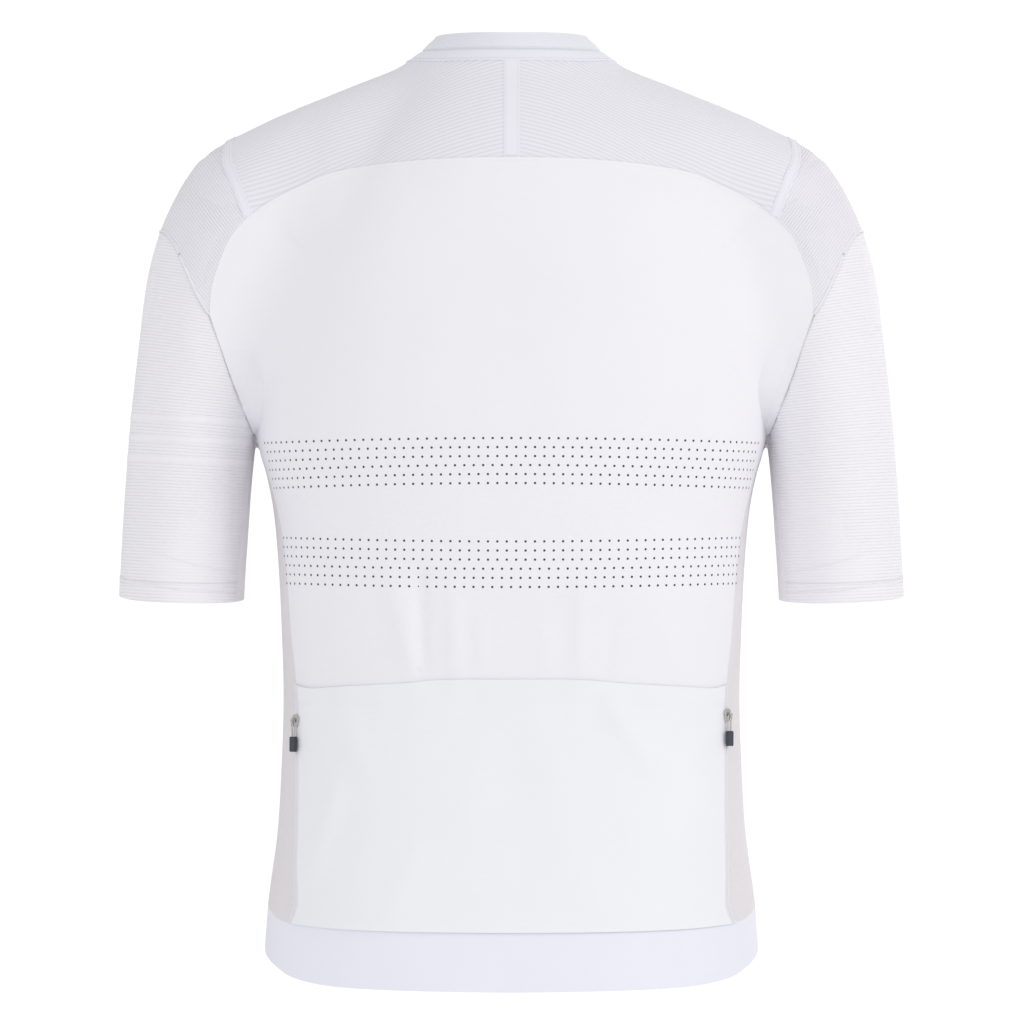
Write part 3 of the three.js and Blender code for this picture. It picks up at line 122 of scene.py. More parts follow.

# %% [markdown]
# ## Creases
# Worn cloth is never quite smooth: it is drawn into long soft folds where it hangs between shoulder and
# pocket, and short ones at the armpit and the waist. Each is a rounded ridge or hollow along a line, with
# its own width and rise. A cloth simulation would make folds of its own; these are placed where
# the real ones lie, with others like them on the sides that are not seen.

# %% Folds: two ends in the plane seen from behind, half width, rise, and face (-1 back, 1 front)
FOLDS = table("x0 z0 x1 z1 width rise face", [
    (-84, -350, -66, -432, 9, 2.0, -1), (-62, -345, -60, -436, 5, -2.2, -1),
    (-40, -360, -38, -434, 7, 1.7, -1), (48, -352, 46, -434, 6, 1.8, -1),
    (96, -380, 118, -432, 10, 1.3, -1), (62, -438, 100, -497, 9, 2.3, -1),
    (-116, -490, -141, -574, 9, 2.2, -1), (104, -520, 132, -582, 11, 1.4, -1),
    (-150, -268, -128, -330, 12, 1.8, -1), (152, -266, 130, -326, 12, 1.7, -1),
    (-22, -372, -20, -436, 5, 0.7, -1), (70, -378, 64, -436, 5, -0.9, -1),
    (20, -386, 24, -434, 6, 0.6, -1), (-120, -440, -96, -500, 9, 1.1, -1),
    (-20, -450, -34, -540, 14, 0.9, -1), (30, -520, 60, -590, 12, 0.8, -1),
    (-60, -540, -84, -592, 8, 0.9, -1), (118, -446, 136, -520, 8, 1.0, -1),
    (0, -470, 10, -580, 16, -0.7, -1), (-112, -96, -60, -112, 14, 0.8, -1),
    (118, -98, 70, -118, 15, 0.7, -1), (-30, -200, -60, -420, 13, 1.8, 1),
    (36, -240, 74, -440, 12, 1.6, 1), (-90, -300, -120, -460, 12, 1.5, 1),
    (104, -280, 128, -430, 13, 1.4, 1), (-20, -430, -50, -560, 11, -1.3, 1),
    (28, -450, 66, -560, 10, -1.2, 1), (-150, -262, -90, -300, 9, 1.7, 1),
    (150, -262, 84, -306, 9, 1.6, 1), (-140, -470, -100, -560, 10, 1.1, 1),
    (136, -480, 92, -566, 10, 1.2, 1)])
SLEEVE_FOLDS = table("x0 z0 x1 z1 width rise face", [
    (-236, -250, -200, -284, 8, 1.1, -1), (-250, -300, -206, -322, 9, 0.8, -1),
    (238, -246, 202, -282, 8, 1.1, -1), (252, -306, 208, -326, 9, 0.8, -1),
    (-226, -190, -208, -232, 8, 0.9, -1), (226, -188, 206, -230, 8, 0.8, -1),
    (-240, -240, -196, -270, 9, 1.2, 1), (240, -244, 198, -276, 9, 1.1, 1),
    (-252, -310, -212, -330, 8, 0.8, 1), (250, -306, 210, -334, 8, 0.9, 1)])


def smooth_step(low, high, value):
    """0 below low, 1 above high, and a soft S between."""
    share = np.clip((value - low) / (high - low), 0, 1)
    return share * share * (3 - 2 * share)


def fold_rise(folds, x, y, z):
    """Sum of ridges: rise times a bell across the line, times soft ends along it, on one face only."""
    rise = np.zeros_like(x)
    for x0, z0, x1, z1, width, height, face in zip(*folds.values()):
        span = np.array([x1 - x0, z1 - z0])
        length = np.hypot(*span)
        along = ((x - x0) * span[0] + (z - z0) * span[1]) / length
        off = ((x - x0) * span[1] - (z - z0) * span[0]) / length
        ends = smooth_step(-width, length * 0.35, along) * smooth_step(-width, length * 0.3, length - along)
        rise += height * ends * np.exp(-((off / width) ** 2)) * smooth_step(20, 45, face * y)
    return rise


print("folds on the body", len(FOLDS["rise"]), "and on the sleeves", len(SLEEVE_FOLDS["rise"]))

# %% Smooth curves through a table and through points
def column(rows, key, value):
    """A column as a smooth function of another: cubic pieces whose slope at a row is its neighbours' mean."""
    order = np.argsort(rows[key])
    keys, values = rows[key][order], rows[value][order]
    last = len(keys) - 1
    low, high = np.maximum(np.arange(last + 1) - 1, 0), np.minimum(np.arange(last + 1) + 1, last)
    slopes = (values[high] - values[low]) / (keys[high] - keys[low])

    def read(at):
        """The column's value where the key column has these values."""
        at = np.clip(at, keys[0], keys[-1])
        index = np.clip(np.searchsorted(keys, at) - 1, 0, last - 1)
        span = keys[index + 1] - keys[index]
        t = (at - keys[index]) / span
        rise = values[index + 1] - values[index]
        bend = slopes[index] * span - rise
        counter = rise - slopes[index + 1] * span
        return values[index] + t * rise + t * (1 - t) * ((1 - t) * bend + t * counter)
    return read


def curve_through(points, shares):
    """A centripetal spline through the points, read at shares from 0 to 1 of its pieces."""
    points = np.asarray(points, float)
    padded = np.vstack([2 * points[0] - points[1], points, 2 * points[-1] - points[-2]])
    place = np.clip(shares, 0, 1) * (len(points) - 1)
    index = np.minimum(place.astype(int), len(points) - 2)
    t = (place - index)[:, None]
    a, b, c, d = (padded[index + step] for step in range(4))
    ab, bc, cd = (np.linalg.norm(q - p, axis=1)[:, None] ** 0.5 for p, q in ((a, b), (b, c), (c, d)))
    bc = np.where(bc < 1e-4, 1, bc)
    ab, cd = np.where(ab < 1e-4, bc, ab), np.where(cd < 1e-4, bc, cd)
    into = ((b - a) / ab - (c - a) / (ab + bc) + (c - b) / bc) * bc
    out = ((c - b) / bc - (d - b) / (bc + cd) + (d - c) / cd) * bc
    return b + into * t + (3 * (c - b) - 2 * into - out) * t ** 2 + (2 * (b - c) + into + out) * t ** 3


def lengths(line):
    """Length along a line of points up to each of them."""
    return np.concatenate([[0], np.cumsum(np.linalg.norm(np.diff(line, axis=0), axis=1))])


def resample(line, shares):
    """The points at given shares of a line's length."""
    along = lengths(line)
    at = np.asarray(shares) * along[-1]
    return np.stack([np.interp(at, along, line[:, axis]) for axis in range(line.shape[1])], axis=1)


def evenly(points, count):
    """Even steps along the smooth curve through the points."""
    return resample(curve_through(points, np.linspace(0, 1, 400)), np.linspace(0, 1, count))


# %% The arm's stations, and a map of the nearest one
def arm_stations():
    """Centres, outward normals and radii at even shares of the arm's outline."""
    shares = np.linspace(0, 1, ARM_STATIONS + 1)
    outline = np.stack([ARM["edge_x"], ARM["edge_z"]], axis=1)
    edge = curve_through(outline, shares)
    before, after = np.maximum(shares - 1e-4, 0), np.minimum(shares + 1e-4, 1)
    ahead = curve_through(outline, after) - curve_through(outline, before)
    ahead /= np.linalg.norm(ahead, axis=1)[:, None]
    normal = np.stack([-ahead[:, 1], ahead[:, 0]], axis=1)
    size = curve_through(np.stack([ARM["radius"], ARM["depth"]], axis=1), shares)
    return np.hstack([edge - normal * size[:, :1], normal, size])


STATIONS = arm_stations()


def nearest_station(x, z):
    """Distance to the arm's centre line in the plane seen from behind, and the place along it."""
    best = np.full(x.shape, np.inf)
    place = np.zeros(x.shape)
    for index in range(ARM_STATIONS):
        start, span = STATIONS[index, :2], STATIONS[index + 1, :2] - STATIONS[index, :2]
        share = np.clip(((x - start[0]) * span[0] + (z - start[1]) * span[1]) / (span @ span), 0, 1)
        distance = np.hypot(x - start[0] - share * span[0], z - start[1] - share * span[1])
        closer = distance < best
        best, place = np.where(closer, distance, best), np.where(closer, index + share, place)
    return best, place


def station_at(place):
    """The row of station values at a place between two stations."""
    index = np.minimum(place.astype(int), ARM_STATIONS - 1)
    share = (place - index)[..., None]
    return STATIONS[index] * (1 - share) + STATIONS[index + 1] * share


MAP_X, MAP_Z = np.arange(-10, 321.0), np.arange(-470, 61.0)
map_distance, map_place = nearest_station(*np.meshgrid(MAP_X, MAP_Z))
map_rows = station_at(map_place)
ARM_MAP = np.stack([map_distance, map_rows[..., 4], map_rows[..., 5]], axis=-1)
print("arm length", round(lengths(STATIONS[:, :2])[-1]), "mm")

# %% The skin
LEVELS = np.arange(-671, 31.0)
TRUNK_LEVELS = {name: column(TRUNK, "height", name)(LEVELS) for name in ("half", "back", "front", "square")}


def trunk_distance(x, y, z):
    """The oval's own measure, less one, over its slope: near the oval this is the level distance."""
    power, half, back, front = (np.interp(z, LEVELS, TRUNK_LEVELS[name])
                                for name in ("square", "half", "back", "front"))
    deep = np.where(y < 0, back, front)
    across, along = np.maximum(x / half, 1e-6), np.maximum(np.abs(y) / deep, 1e-6)
    size = (across ** power + along ** power) ** (1 / power)
    slope = np.hypot((across / size) ** (power - 1) / half, (along / size) ** (power - 1) / deep)
    return (size - 1) / slope


def arm_distance(x, y, z):
    """Distance to the arm's tube, whose section is an oval deeper than wide, from the map."""
    column_at = np.clip(x - MAP_X[0], 0, len(MAP_X) - 1.001)
    row_at = np.clip(z - MAP_Z[0], 0, len(MAP_Z) - 1.001)
    i, j = row_at.astype(int), column_at.astype(int)
    a, b = (row_at - i)[..., None], (column_at - j)[..., None]
    read = ((1 - a) * (1 - b) * ARM_MAP[i, j] + (1 - a) * b * ARM_MAP[i, j + 1]
            + a * (1 - b) * ARM_MAP[i + 1, j] + a * b * ARM_MAP[i + 1, j + 1])
    distance, radius, depth = read[..., 0], read[..., 1], read[..., 2]
    return np.hypot(distance, y * radius / depth) - radius


def skin(x, y, z):
    """Below zero inside the jersey: the smaller of trunk and arm, rounded where they meet, less the folds."""
    side = np.abs(x)
    trunk, arm = trunk_distance(side, y, z), arm_distance(side, y, z)
    shoulder = 16 + 30 * smooth_step(70, 130, side)
    join = 4 + (shoulder - 4) * smooth_step(-262, -190, z)
    mix = np.maximum(join - np.abs(trunk - arm), 0) / join
    return np.minimum(trunk, arm) - mix * mix * join / 4 - fold_rise(FOLDS, x, y, z)


def skin_normal(points, side):
    """The skin's slope by small steps, as unit vectors in the half's own frame."""
    step = 0.4
    slope = np.empty_like(points)
    for axis in range(3):
        ahead, behind = points.copy(), points.copy()
        ahead[:, axis] += step
        behind[:, axis] -= step
        slope[:, axis] = (skin(side * ahead[:, 0], ahead[:, 1], ahead[:, 2])
                          - skin(side * behind[:, 0], behind[:, 1], behind[:, 2]))
    return slope / np.linalg.norm(slope, axis=1)[:, None]


# %% [markdown]
# ## Seams and patches
# A pattern maker draws a seam on a flat view of the garment. Here the same is done: a seam is drawn in the
# plane seen from behind or from the front, and rays carry it on to the skin. Between four seams lies a
# patch: its inner points are blends of its sides, and rays settle them on the skin too.

# %% Rays that settle on the skin
MARCH = 3.0


def settle(origin, direction, side, start, reach, outwards=True):
    """Walk along each ray until the skin is crossed, and halve the last step again and again.
    A ray that misses is drawn in to the skin from its closest place."""
    origin, direction = (np.atleast_2d(part).astype(float) for part in (origin, direction))
    origin, direction = np.broadcast_arrays(origin, direction)
    count = len(origin)
    reach = np.broadcast_to(reach, count)
    sign = 1.0 if outwards else -1.0

    def value(t, rows):
        """The skin's value on some of the rays, at a distance along each."""
        at = origin[rows] + t[:, None] * direction[rows]
        return sign * skin(side * at[:, 0], at[:, 1], at[:, 2])

    low = np.full(count, float(start))
    high = low.copy()
    closest, least = low.copy(), value(low, slice(None))
    open_rows = np.arange(count)
    t = float(start)
    while len(open_rows) and t + MARCH <= reach.max():
        t += MARCH
        open_rows = open_rows[t <= reach[open_rows]]
        here = value(np.full(len(open_rows), t), open_rows)
        crossed = here > 0
        high[open_rows[crossed]] = t
        nearer = open_rows[~crossed & (here > least[open_rows])]
        least[open_rows] = np.maximum(least[open_rows], here)
        closest[nearer] = t
        open_rows = open_rows[~crossed]
        low[open_rows] = t
    hit = high > low
    rows = np.flatnonzero(hit)
    for _ in range(18):
        middle = (low[rows] + high[rows]) / 2
        beyond = value(middle, rows) > 0
        high[rows] = np.where(beyond, middle, high[rows])
        low[rows] = np.where(beyond, low[rows], middle)
    at = np.where(hit, low, closest)
    points = origin + at[:, None] * direction
    missed = np.flatnonzero(~hit)
    for _ in range(8 if len(missed) else 0):
        normal = skin_normal(points[missed], side)
        depth = skin(side * points[missed, 0], points[missed, 1], points[missed, 2])
        points[missed] -= 0.9 * depth[:, None] * normal
    return points


def in_sight(x, z, side):
    """Places in the plane y = 0, carried to the skin along the lines of sight."""
    direction = np.stack([x, 0 * x, z], axis=1) - EYE
    direction /= np.linalg.norm(direction, axis=1)[:, None]
    return settle(EYE, direction, side, SIGHT_START, SIGHT_END, False)


def seen_from_behind(rows, count, side):
    """A seam drawn in the plane seen from behind, carried to the skin."""
    drawn = evenly(rows, count) if count > 1 else np.array(rows[:1], float)
    return in_sight(drawn[:, 0], drawn[:, 1], side)


def seen_from_front(rows, count, side):
    """A seam drawn from the front, carried straight back to the skin."""
    drawn = evenly(rows, count)
    start = np.stack([drawn[:, 0], 0 * drawn[:, 0] + AHEAD, drawn[:, 1]], axis=1)
    return settle(start, [0, -1, 0], side, 0, 300, False)


# %% Charts: two numbers for each point of the skin, and the ray that leads back to it
TRUNK_CORE = 90


class TrunkChart:
    """Angle on an oval about a short bar inside the trunk, and height."""
    @staticmethod
    def read(points):
        """Halve the bar's distance until the oval passes through each point."""
        low, high = np.full(len(points), 5.0), np.full(len(points), 400.0)
        for _ in range(40):
            middle = (low + high) / 2
            inside = (points[:, 0] / (TRUNK_CORE + middle)) ** 2 + (points[:, 1] / middle) ** 2 > 1
            low, high = np.where(inside, middle, low), np.where(inside, high, middle)
        angle = np.degrees(np.arctan2(points[:, 1] / low, points[:, 0] / (TRUNK_CORE + low)))
        return np.stack([angle, points[:, 2]], axis=1)

    @staticmethod
    def place(spots, side):
        """Points at angles and heights; near the arm a ray ends where the arm begins."""
        turn, height = np.radians(spots[:, 0]), spots[:, 1]
        origin = np.stack([TRUNK_CORE * np.cos(turn), 0 * turn, height], axis=1)
        direction = np.stack([np.cos(turn), np.sin(turn), 0 * turn], axis=1)
        limit = ARMPIT["trunk_limit"]
        widest = limit + (240 - limit) * smooth_step(-255, -200, height)
        reach = np.where(np.cos(turn) > 0.3, (widest - origin[:, 0]) / np.maximum(np.cos(turn), 0.3), 220)
        return settle(origin, direction, side, 20, np.minimum(reach, 220))


class YokeChart:
    """Place across, and the angle over the shoulder about a core that falls outwards."""
    @staticmethod
    def read(points):
        """Place across and angle of points."""
        core = -60 - 0.25 * points[:, 0]
        return np.stack([points[:, 0], np.degrees(np.arctan2(points[:, 2] - core, -points[:, 1]))], axis=1)

    @staticmethod
    def place(spots, side):
        """Points at places across and angles over the shoulder."""
        x, angle = spots[:, 0], np.radians(spots[:, 1])
        origin = np.stack([x, 0 * x, -60 - 0.25 * x], axis=1)
        direction = np.stack([0 * x, -np.cos(angle), np.sin(angle)], axis=1)
        return settle(origin, direction, side, 5, 160)


class ArmChart:
    """Place along the arm, and the turn round it from the outside over the back."""
    @classmethod
    def read(cls, points):
        """Station number and turn of points."""
        _, place = nearest_station(points[:, 0], points[:, 2])
        here = station_at(place)
        across = (points[:, 0] - here[:, 0]) * here[:, 2] + (points[:, 2] - here[:, 1]) * here[:, 3]
        turn = np.degrees(np.arctan2(-points[:, 1], across))
        turn = np.where(turn < -20 - 90 * smooth_step(0, 8, place), turn + 360, turn)
        return np.stack([place, cls.wrap(turn, points)], axis=1)

    @staticmethod
    def wrap(turn, points):
        """Turns as they come; the charts below count them on from elsewhere."""
        return turn

    @staticmethod
    def place(spots, side):
        """Points at station numbers and turns; under the arm a ray ends where the trunk begins."""
        here = station_at(np.clip(spots[:, 0], 0, ARM_STATIONS))
        angle = np.radians(spots[:, 1])
        direction = np.stack([here[:, 2] * np.cos(angle), -np.sin(angle), here[:, 3] * np.cos(angle)], axis=1)
        narrowest = np.where(here[:, 1] < ARMPIT["height"], ARMPIT["arm_limit"], 0)
        inward = direction[:, 0] < -0.3
        reach = np.where(inward, (narrowest - here[:, 0]) / np.where(inward, direction[:, 0], -1), 120)
        origin = np.stack([here[:, 0], 0 * angle, here[:, 1]], axis=1)
        return settle(origin, direction, side, 5, np.minimum(reach, 120))


class SleeveChart(ArmChart):
    """The arm's chart, cut under the arm."""
    @staticmethod
    def wrap(turn, points):
        """Turns of the front, from -180 up."""
        return np.where((points[:, 1] > 0) & (turn > 180), turn - 360, turn)


class SleeveFrontChart(ArmChart):
    """The arm's chart with turns up to half a turn."""
    @staticmethod
    def wrap(turn, points):
        """Turns from -180 to 180."""
        return np.where(turn > 180, turn - 360, turn)


class UnderChart(ArmChart):
    """The arm's chart with turns counted on under the arm."""
    @staticmethod
    def wrap(turn, points):
        """Turns from 0 to 360."""
        return np.where(turn < 0, turn + 360, turn)


def chart_curve(chart, points, count, side):
    """A curve on the skin through given points, smooth in a chart."""
    points = np.asarray(points, float)
    curve = chart.place(evenly(chart.read(points), count), side)
    curve[0], curve[-1] = points[0], points[-1]
    return curve


# %% Sides of a patch, and the patch between them
def edge(*segments):
    """A side of a patch, made of seams of so many cells each; it is read at places counted in cells."""
    ends = np.cumsum([0] + [cells for _, cells in segments])

    def read(places):
        """Points at places along the side."""
        points = np.zeros((len(places), 3))
        for (line, cells), start in zip(segments, ends):
            within = (places >= start) & (places <= start + cells)
            points[within] = resample(line, (places[within] - start) / cells)
        return points
    read.cells = ends[-1]
    return read


def places(cells, per_cell):
    """Even places along a side, so many to a cell; per_cell may be a list with one number for each cell."""
    counts = np.broadcast_to(per_cell, cells)
    steps = [index + np.arange(1, count + 1) / count for index, count in enumerate(counts)]
    return np.concatenate([[0]] + steps)


def patch(chart, low, high, near, far, across, up, side):
    """Each inner point is the blend of the four sides in the chart, settled on the skin."""
    u, v = (across / across[-1])[None, :, None], (up / up[-1])[:, None, None]
    lines = low(across), high(across), near(up), far(up)
    low_at, high_at, near_at, far_at = (chart.read(line) for line in lines)
    spots = ((1 - v) * low_at[None] + v * high_at[None] + (1 - u) * near_at[:, None] + u * far_at[:, None]
             - (1 - u) * (1 - v) * low_at[0] - u * (1 - v) * low_at[-1]
             - (1 - u) * v * high_at[0] - u * v * high_at[-1])
    grid = chart.place(spots.reshape(-1, 2), side).reshape(*spots.shape[:2], 3)
    grid[0], grid[-1], grid[:, 0], grid[:, -1] = lines
    return grid


# %% Neck, hem and cuff points
neck_seam, collar_height = column(NECK, "angle", "seam"), column(NECK, "angle", "height")
hem_seam, hem_edge = column(HEM, "angle", "seam"), column(HEM, "angle", "edge")


def neck_points(angles, share, side):
    """Points of the collar's ring at angles round the neck, and a share of its height."""
    turn = np.radians(angles)
    height = neck_seam(angles) + share * collar_height(angles)
    origin = np.stack([0 * turn, 0 * turn, height], axis=1)
    direction = np.stack([np.cos(turn), np.sin(turn), 0 * turn], axis=1)
    return settle(origin, direction, side, 20, 160)


def neck_angle_at(x, side, back):
    """The angle at which the neck seam is so far from the middle, read off a fine ring."""
    angles = np.linspace(-90 if back else 90, 0, 361)
    return float(np.interp(x, neck_points(angles, 0, side)[:, 0], angles))


def hem_points(angles, height, side):
    """Points of the hem's seam or edge at angles round the trunk; height is the curve of that line."""
    return TrunkChart.place(np.stack([angles, height(angles)], axis=1), side)


def cuff_points(turns, side):
    """The cuff's edge at turns round the arm: lower at back and front, as it hangs."""
    angle = np.radians(turns)
    share = (1 + np.cos(angle)) / 2
    height = CUFF_INNER_Z + (CUFF_OUTER_Z - CUFF_INNER_Z) * share - CUFF_SAG * np.abs(np.sin(angle))
    _, place = nearest_station(np.full(len(turns), float(CUFF_CENTRE_X)), height)
    origin = np.stack([station_at(place)[:, 0], 0 * height, height], axis=1)
    direction = np.stack([np.cos(angle), -np.sin(angle), 0 * angle], axis=1)
    return settle(origin, direction, side, 5, 120)


# %% All the seams of one half
FINE = 97
CELLS = dict(arch=10, cap_back=4, cap_front=4, sleeve_back=5, sleeve_front=5, side_upper=6, side_lower=6,
             underarm=4, cap_seam=10, shoulder=10, yoke_front=10, centre_edge=3, neck_front=4, neck_back=7)


def mirrored(points):
    """Points with x turned over, from one half to the other."""
    return points * [-1, 1, 1]


def underarm_line(back_end, front_end, side):
    """Along the top of the notch between sleeve and trunk."""
    def notch(x, y):
        """The skin straight above places between sleeve and trunk."""
        start = np.stack([x, y, np.full(len(x), float(UNDERARM_START_Z))], axis=1)
        return settle(start, [0, 0, 1], side, 0, 120, False)
    inner = notch(np.full(3, UNDERARM_X), np.array([-10.0, 0, 11]))
    line = evenly(np.vstack([back_end, inner, front_end]), FINE)
    settled = notch(line[:, 0], line[:, 1])
    settled[0], settled[-1] = back_end, front_end
    return settled


def side_seam(armpit, side):
    """The side seam as a function of height: the table's rows, with the armpit as the last."""
    last_angle, last_height = TrunkChart.read(armpit[None])[0]
    rows = {"height": np.append(SIDE_SEAM["height"], last_height),
            "angle": np.append(SIDE_SEAM["angle"], last_angle)}
    angle_at = column(rows, "height", "angle")

    def points_at(heights):
        """Points of the seam at heights."""
        return TrunkChart.place(np.stack([angle_at(heights), heights], axis=1), side)
    return angle_at, points_at


def cap_seam_line(seams, side):
    """The cap's seam round the arm: a point seen from behind, the outermost, and its like in front."""
    seen = seen_from_behind([CAP_SEAM_SEEN], 1, side)
    _, outer_place = nearest_station(*np.array([CAP_SEAM_OUTER], float).T)
    outer = ArmChart.place(np.array([[outer_place[0], 0.0]]), side)[0]
    hidden = ArmChart.place(ArmChart.read(seen) * [1, -1], side)[0]
    ends = seams["cap_back"][-1], seams["cap_front"][-1]
    return chart_curve(ArmChart, [ends[0], seen[0], outer, hidden, ends[1]], FINE, side)


def half_seams(side):
    """Every seam line of one half, drawn as if it were the right half."""
    seams = {name: seen_from_behind(rows, FINE, side) for name, rows in (
        ("arch", ARCH_SEAM), ("cap_back", CAP_BACK_SEAM), ("sleeve_back", SLEEVE_BACK_SEAM),
        ("pocket_top", POCKET_TOP))}
    seams["cap_front"] = seen_from_front(CAP_FRONT_SEAM, FINE, side)
    seams["sleeve_front"] = seen_from_front(SLEEVE_FRONT_SEAM, FINE, side)
    armpit = seams["sleeve_back"][-1]
    seams["underarm"] = underarm_line(armpit, seams["sleeve_front"][-1], side)
    behind = seen_from_behind(SHOULDER_SEAM, 4, side)
    shoulder_points = [seams["arch"][-1], *behind[1:], seams["cap_front"][0]]
    seams["shoulder"] = chart_curve(YokeChart, shoulder_points, FINE, side)
    seams["cap_seam"] = cap_seam_line(seams, side)
    angle_at, points_at = side_seam(armpit, side)
    pocket_height = seams["pocket_top"][-1, 2]
    seams["hem_angle"] = float(angle_at(SIDE_SEAM_FOOT_Z))
    foot_height = float(hem_seam(seams["hem_angle"]))
    seams["side_upper"] = points_at(np.linspace(pocket_height, armpit[2], FINE))
    seams["side_upper"][-1] = armpit
    seams["side_lower"] = points_at(np.linspace(foot_height, pocket_height, FINE))
    seams["pocket_top"][-1] = seams["side_upper"][0]
    seams["tape_angle"] = neck_angle_at(TAPE_HALF, side, True)
    seams["zip_angle"] = neck_angle_at(FRONT_ZIP_HALF, side, False)
    back_angles = np.linspace(seams["tape_angle"], YOKE_FRONT_NECK_ANGLE, FINE)
    front_angles = np.linspace(YOKE_FRONT_NECK_ANGLE, seams["zip_angle"], FINE)
    seams["neck_back"] = neck_points(back_angles, 0, side)
    seams["neck_front"] = neck_points(front_angles, 0, side)
    seams["centre_edge"] = chart_curve(YokeChart, [seams["arch"][0], seams["neck_back"][0]], FINE, side)
    seams["yoke_front"] = chart_curve(
        YokeChart, [seams["neck_back"][-1], seams["cap_front"][0]], FINE, side)
    return seams


def along_seams(seams, *names, side=1):
    """A side of a patch made of seams by name; one whose name starts with a minus is run backwards."""
    segments = []
    for name in names:
        seam = name.lstrip("-")
        line = seams[seam][::-1] if name.startswith("-") else seams[seam]
        segments.append((line * [side, 1, 1], CELLS[seam]))
    return edge(*segments)


SEAMS = {-1: half_seams(-1), 1: half_seams(1)}
SIDE_NAMES = {-1: "left", 1: "right"}
print("seams of a half", len(SEAMS[1]))

# %% [markdown]
# ## From a patch to a shell
# Solidify could thicken a sheet, but it would repeat the fine ribs on the hidden inner side too. So the
# shell is made by hand: a fine outer grid, a coarser inner one, and rim faces that join both.

# %% Shells
def grid_normals(grid, side):
    """The cross product of the grid's two slopes, turned to the skin's outer side."""
    cross = np.cross(np.gradient(grid, axis=1), np.gradient(grid, axis=0))
    cross /= np.maximum(np.linalg.norm(cross, axis=-1), 1e-9)[..., None]
    middle = grid.shape[0] // 2, grid.shape[1] // 2
    outward = skin_normal(grid[middle][None], side)[0] @ cross[middle] > 0
    return (cross if outward else -cross), outward


def quads(grid):
    """The four corners of each cell of a grid of point numbers, in turn."""
    return np.stack([grid[:-1, :-1], grid[:-1, 1:], grid[1:, 1:], grid[1:, :-1]], axis=-1).reshape(-1, 4)


def shell_faces(rows, columns, step, outward):
    """Quads of the outer grid and of the inner one, and one face for each inner cell along the rims."""
    outer = np.arange(rows * columns).reshape(rows, columns)
    inner = outer.size + np.arange(((rows - 1) // step + 1) * ((columns - 1) // step + 1))
    inner = inner.reshape((rows - 1) // step + 1, (columns - 1) // step + 1)
    way_out = 1 if outward else -1
    faces = quads(outer)[:, ::way_out].tolist() + quads(inner)[:, ::-way_out].tolist()
    for fine, coarse, way in ((outer[0], inner[0], -1), (outer[-1], inner[-1], 1),
                              (outer[:, 0], inner[:, 0], 1), (outer[:, -1], inner[:, -1], -1)):
        fine = np.stack([fine[k:len(fine) - step + k:step] for k in range(step + 1)], axis=1)
        rim = np.hstack([fine, coarse[1:, None], coarse[:-1, None]])
        faces += rim[:, ::way * way_out].tolist()
    return faces


def make_piece(name, vertices, faces, smooth=True):
    """A mesh object in metres at the origin, moving with the jersey's body."""
    mesh = bpy.data.meshes.new(name)
    mesh.from_pydata((np.asarray(vertices) * MM).tolist(), [], faces)
    if smooth:
        mesh.polygons.foreach_set("use_smooth", np.ones(len(mesh.polygons), bool))
        mesh.set_sharp_from_angle(angle=math.radians(50))
    mesh.validate()
    piece = bpy.data.objects.new(name, mesh)
    bpy.context.scene.collection.objects.link(piece)
    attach(piece, "jersey")
    return piece


def grid_lengths(grid, axis):
    """Length along each column (axis 0) or row (axis 1) of a grid, up to each of its points."""
    steps = np.linalg.norm(np.diff(grid, axis=axis), axis=-1)
    start = np.zeros((1, grid.shape[1]) if axis == 0 else (grid.shape[0], 1))
    return np.concatenate([start, np.cumsum(steps, axis=axis)], axis=axis)


def both_layers(values, step):
    """Values of the outer grid's points and then of the inner grid's."""
    kind = values.shape[2:]
    return np.concatenate([values.reshape(-1, *kind), values[::step, ::step].reshape(-1, *kind)])


def cloth_piece(node, grid, side, slot, lift=0.0, wall=WALL, relief=None, step=1, masks=None):
    """A thin shell on a patch, in the place of the node of that name, with its flat coordinates as UV.
    relief gives the rise over the patch in mm, and masks named shades of tone, from 0 to 1."""
    normals, outward = grid_normals(grid, side)
    raised = grid + normals * lift
    in_place = raised * [side, 1, 1]
    along_u, along_v = grid_lengths(grid, 1), grid_lengths(grid, 0)
    rise = relief(in_place, along_u, along_v) if relief else np.zeros(grid.shape[:2])
    outer = raised + normals * rise[..., None]
    inner = (raised - normals * (wall - np.minimum(rise, 0))[..., None])[::step, ::step]
    vertices = np.vstack([outer.reshape(-1, 3), inner.reshape(-1, 3)]) * [side, 1, 1]
    faces = shell_faces(*grid.shape[:2], step, outward == (side > 0))
    piece = make_piece(f"{node}_cloth", vertices, faces)
    flat = np.stack([along_u - along_u.mean(axis=1, keepdims=True), along_v], axis=-1) * MM
    corners = np.empty(len(piece.data.loops), int)
    piece.data.loops.foreach_get("vertex_index", corners)
    flat_map = piece.data.uv_layers.new(name="flat")
    flat_map.data.foreach_set("uv", both_layers(flat, step)[corners].ravel().astype(np.float32))
    for mask_name, mask in (masks(in_place, along_u, along_v) if masks else {}).items():
        values = both_layers(mask, step).astype(np.float32)
        piece.data.attributes.new(mask_name, "FLOAT", "POINT").data.foreach_set("value", values)
    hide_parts(node)
    cell = np.cross(grid[1:, 1:] - grid[:-1, :-1], grid[1:, :-1] - grid[:-1, 1:])
    area = np.linalg.norm(cell, axis=-1).sum() / 2 * MM * MM
    width, length = along_u[:, -1].max() * MM, along_v[-1].max() * MM
    CUTS[node] = {"piece": piece, "slot": slot, "width": width, "length": length,
                  "area": min(area, width * length)}
    print(f"{piece.name}: {len(faces)} faces, cut {width * 1000:.0f} x {length * 1000:.0f} mm, {area:.4f} m2")


CUTS = {}

# %% [markdown]
# ## The back panel
# One smooth piece from the arched yoke seam to the hem band. Its outer edge is turned and lies over the
# sleeve, so it stands a little proud there, bright against the shadow beside it.

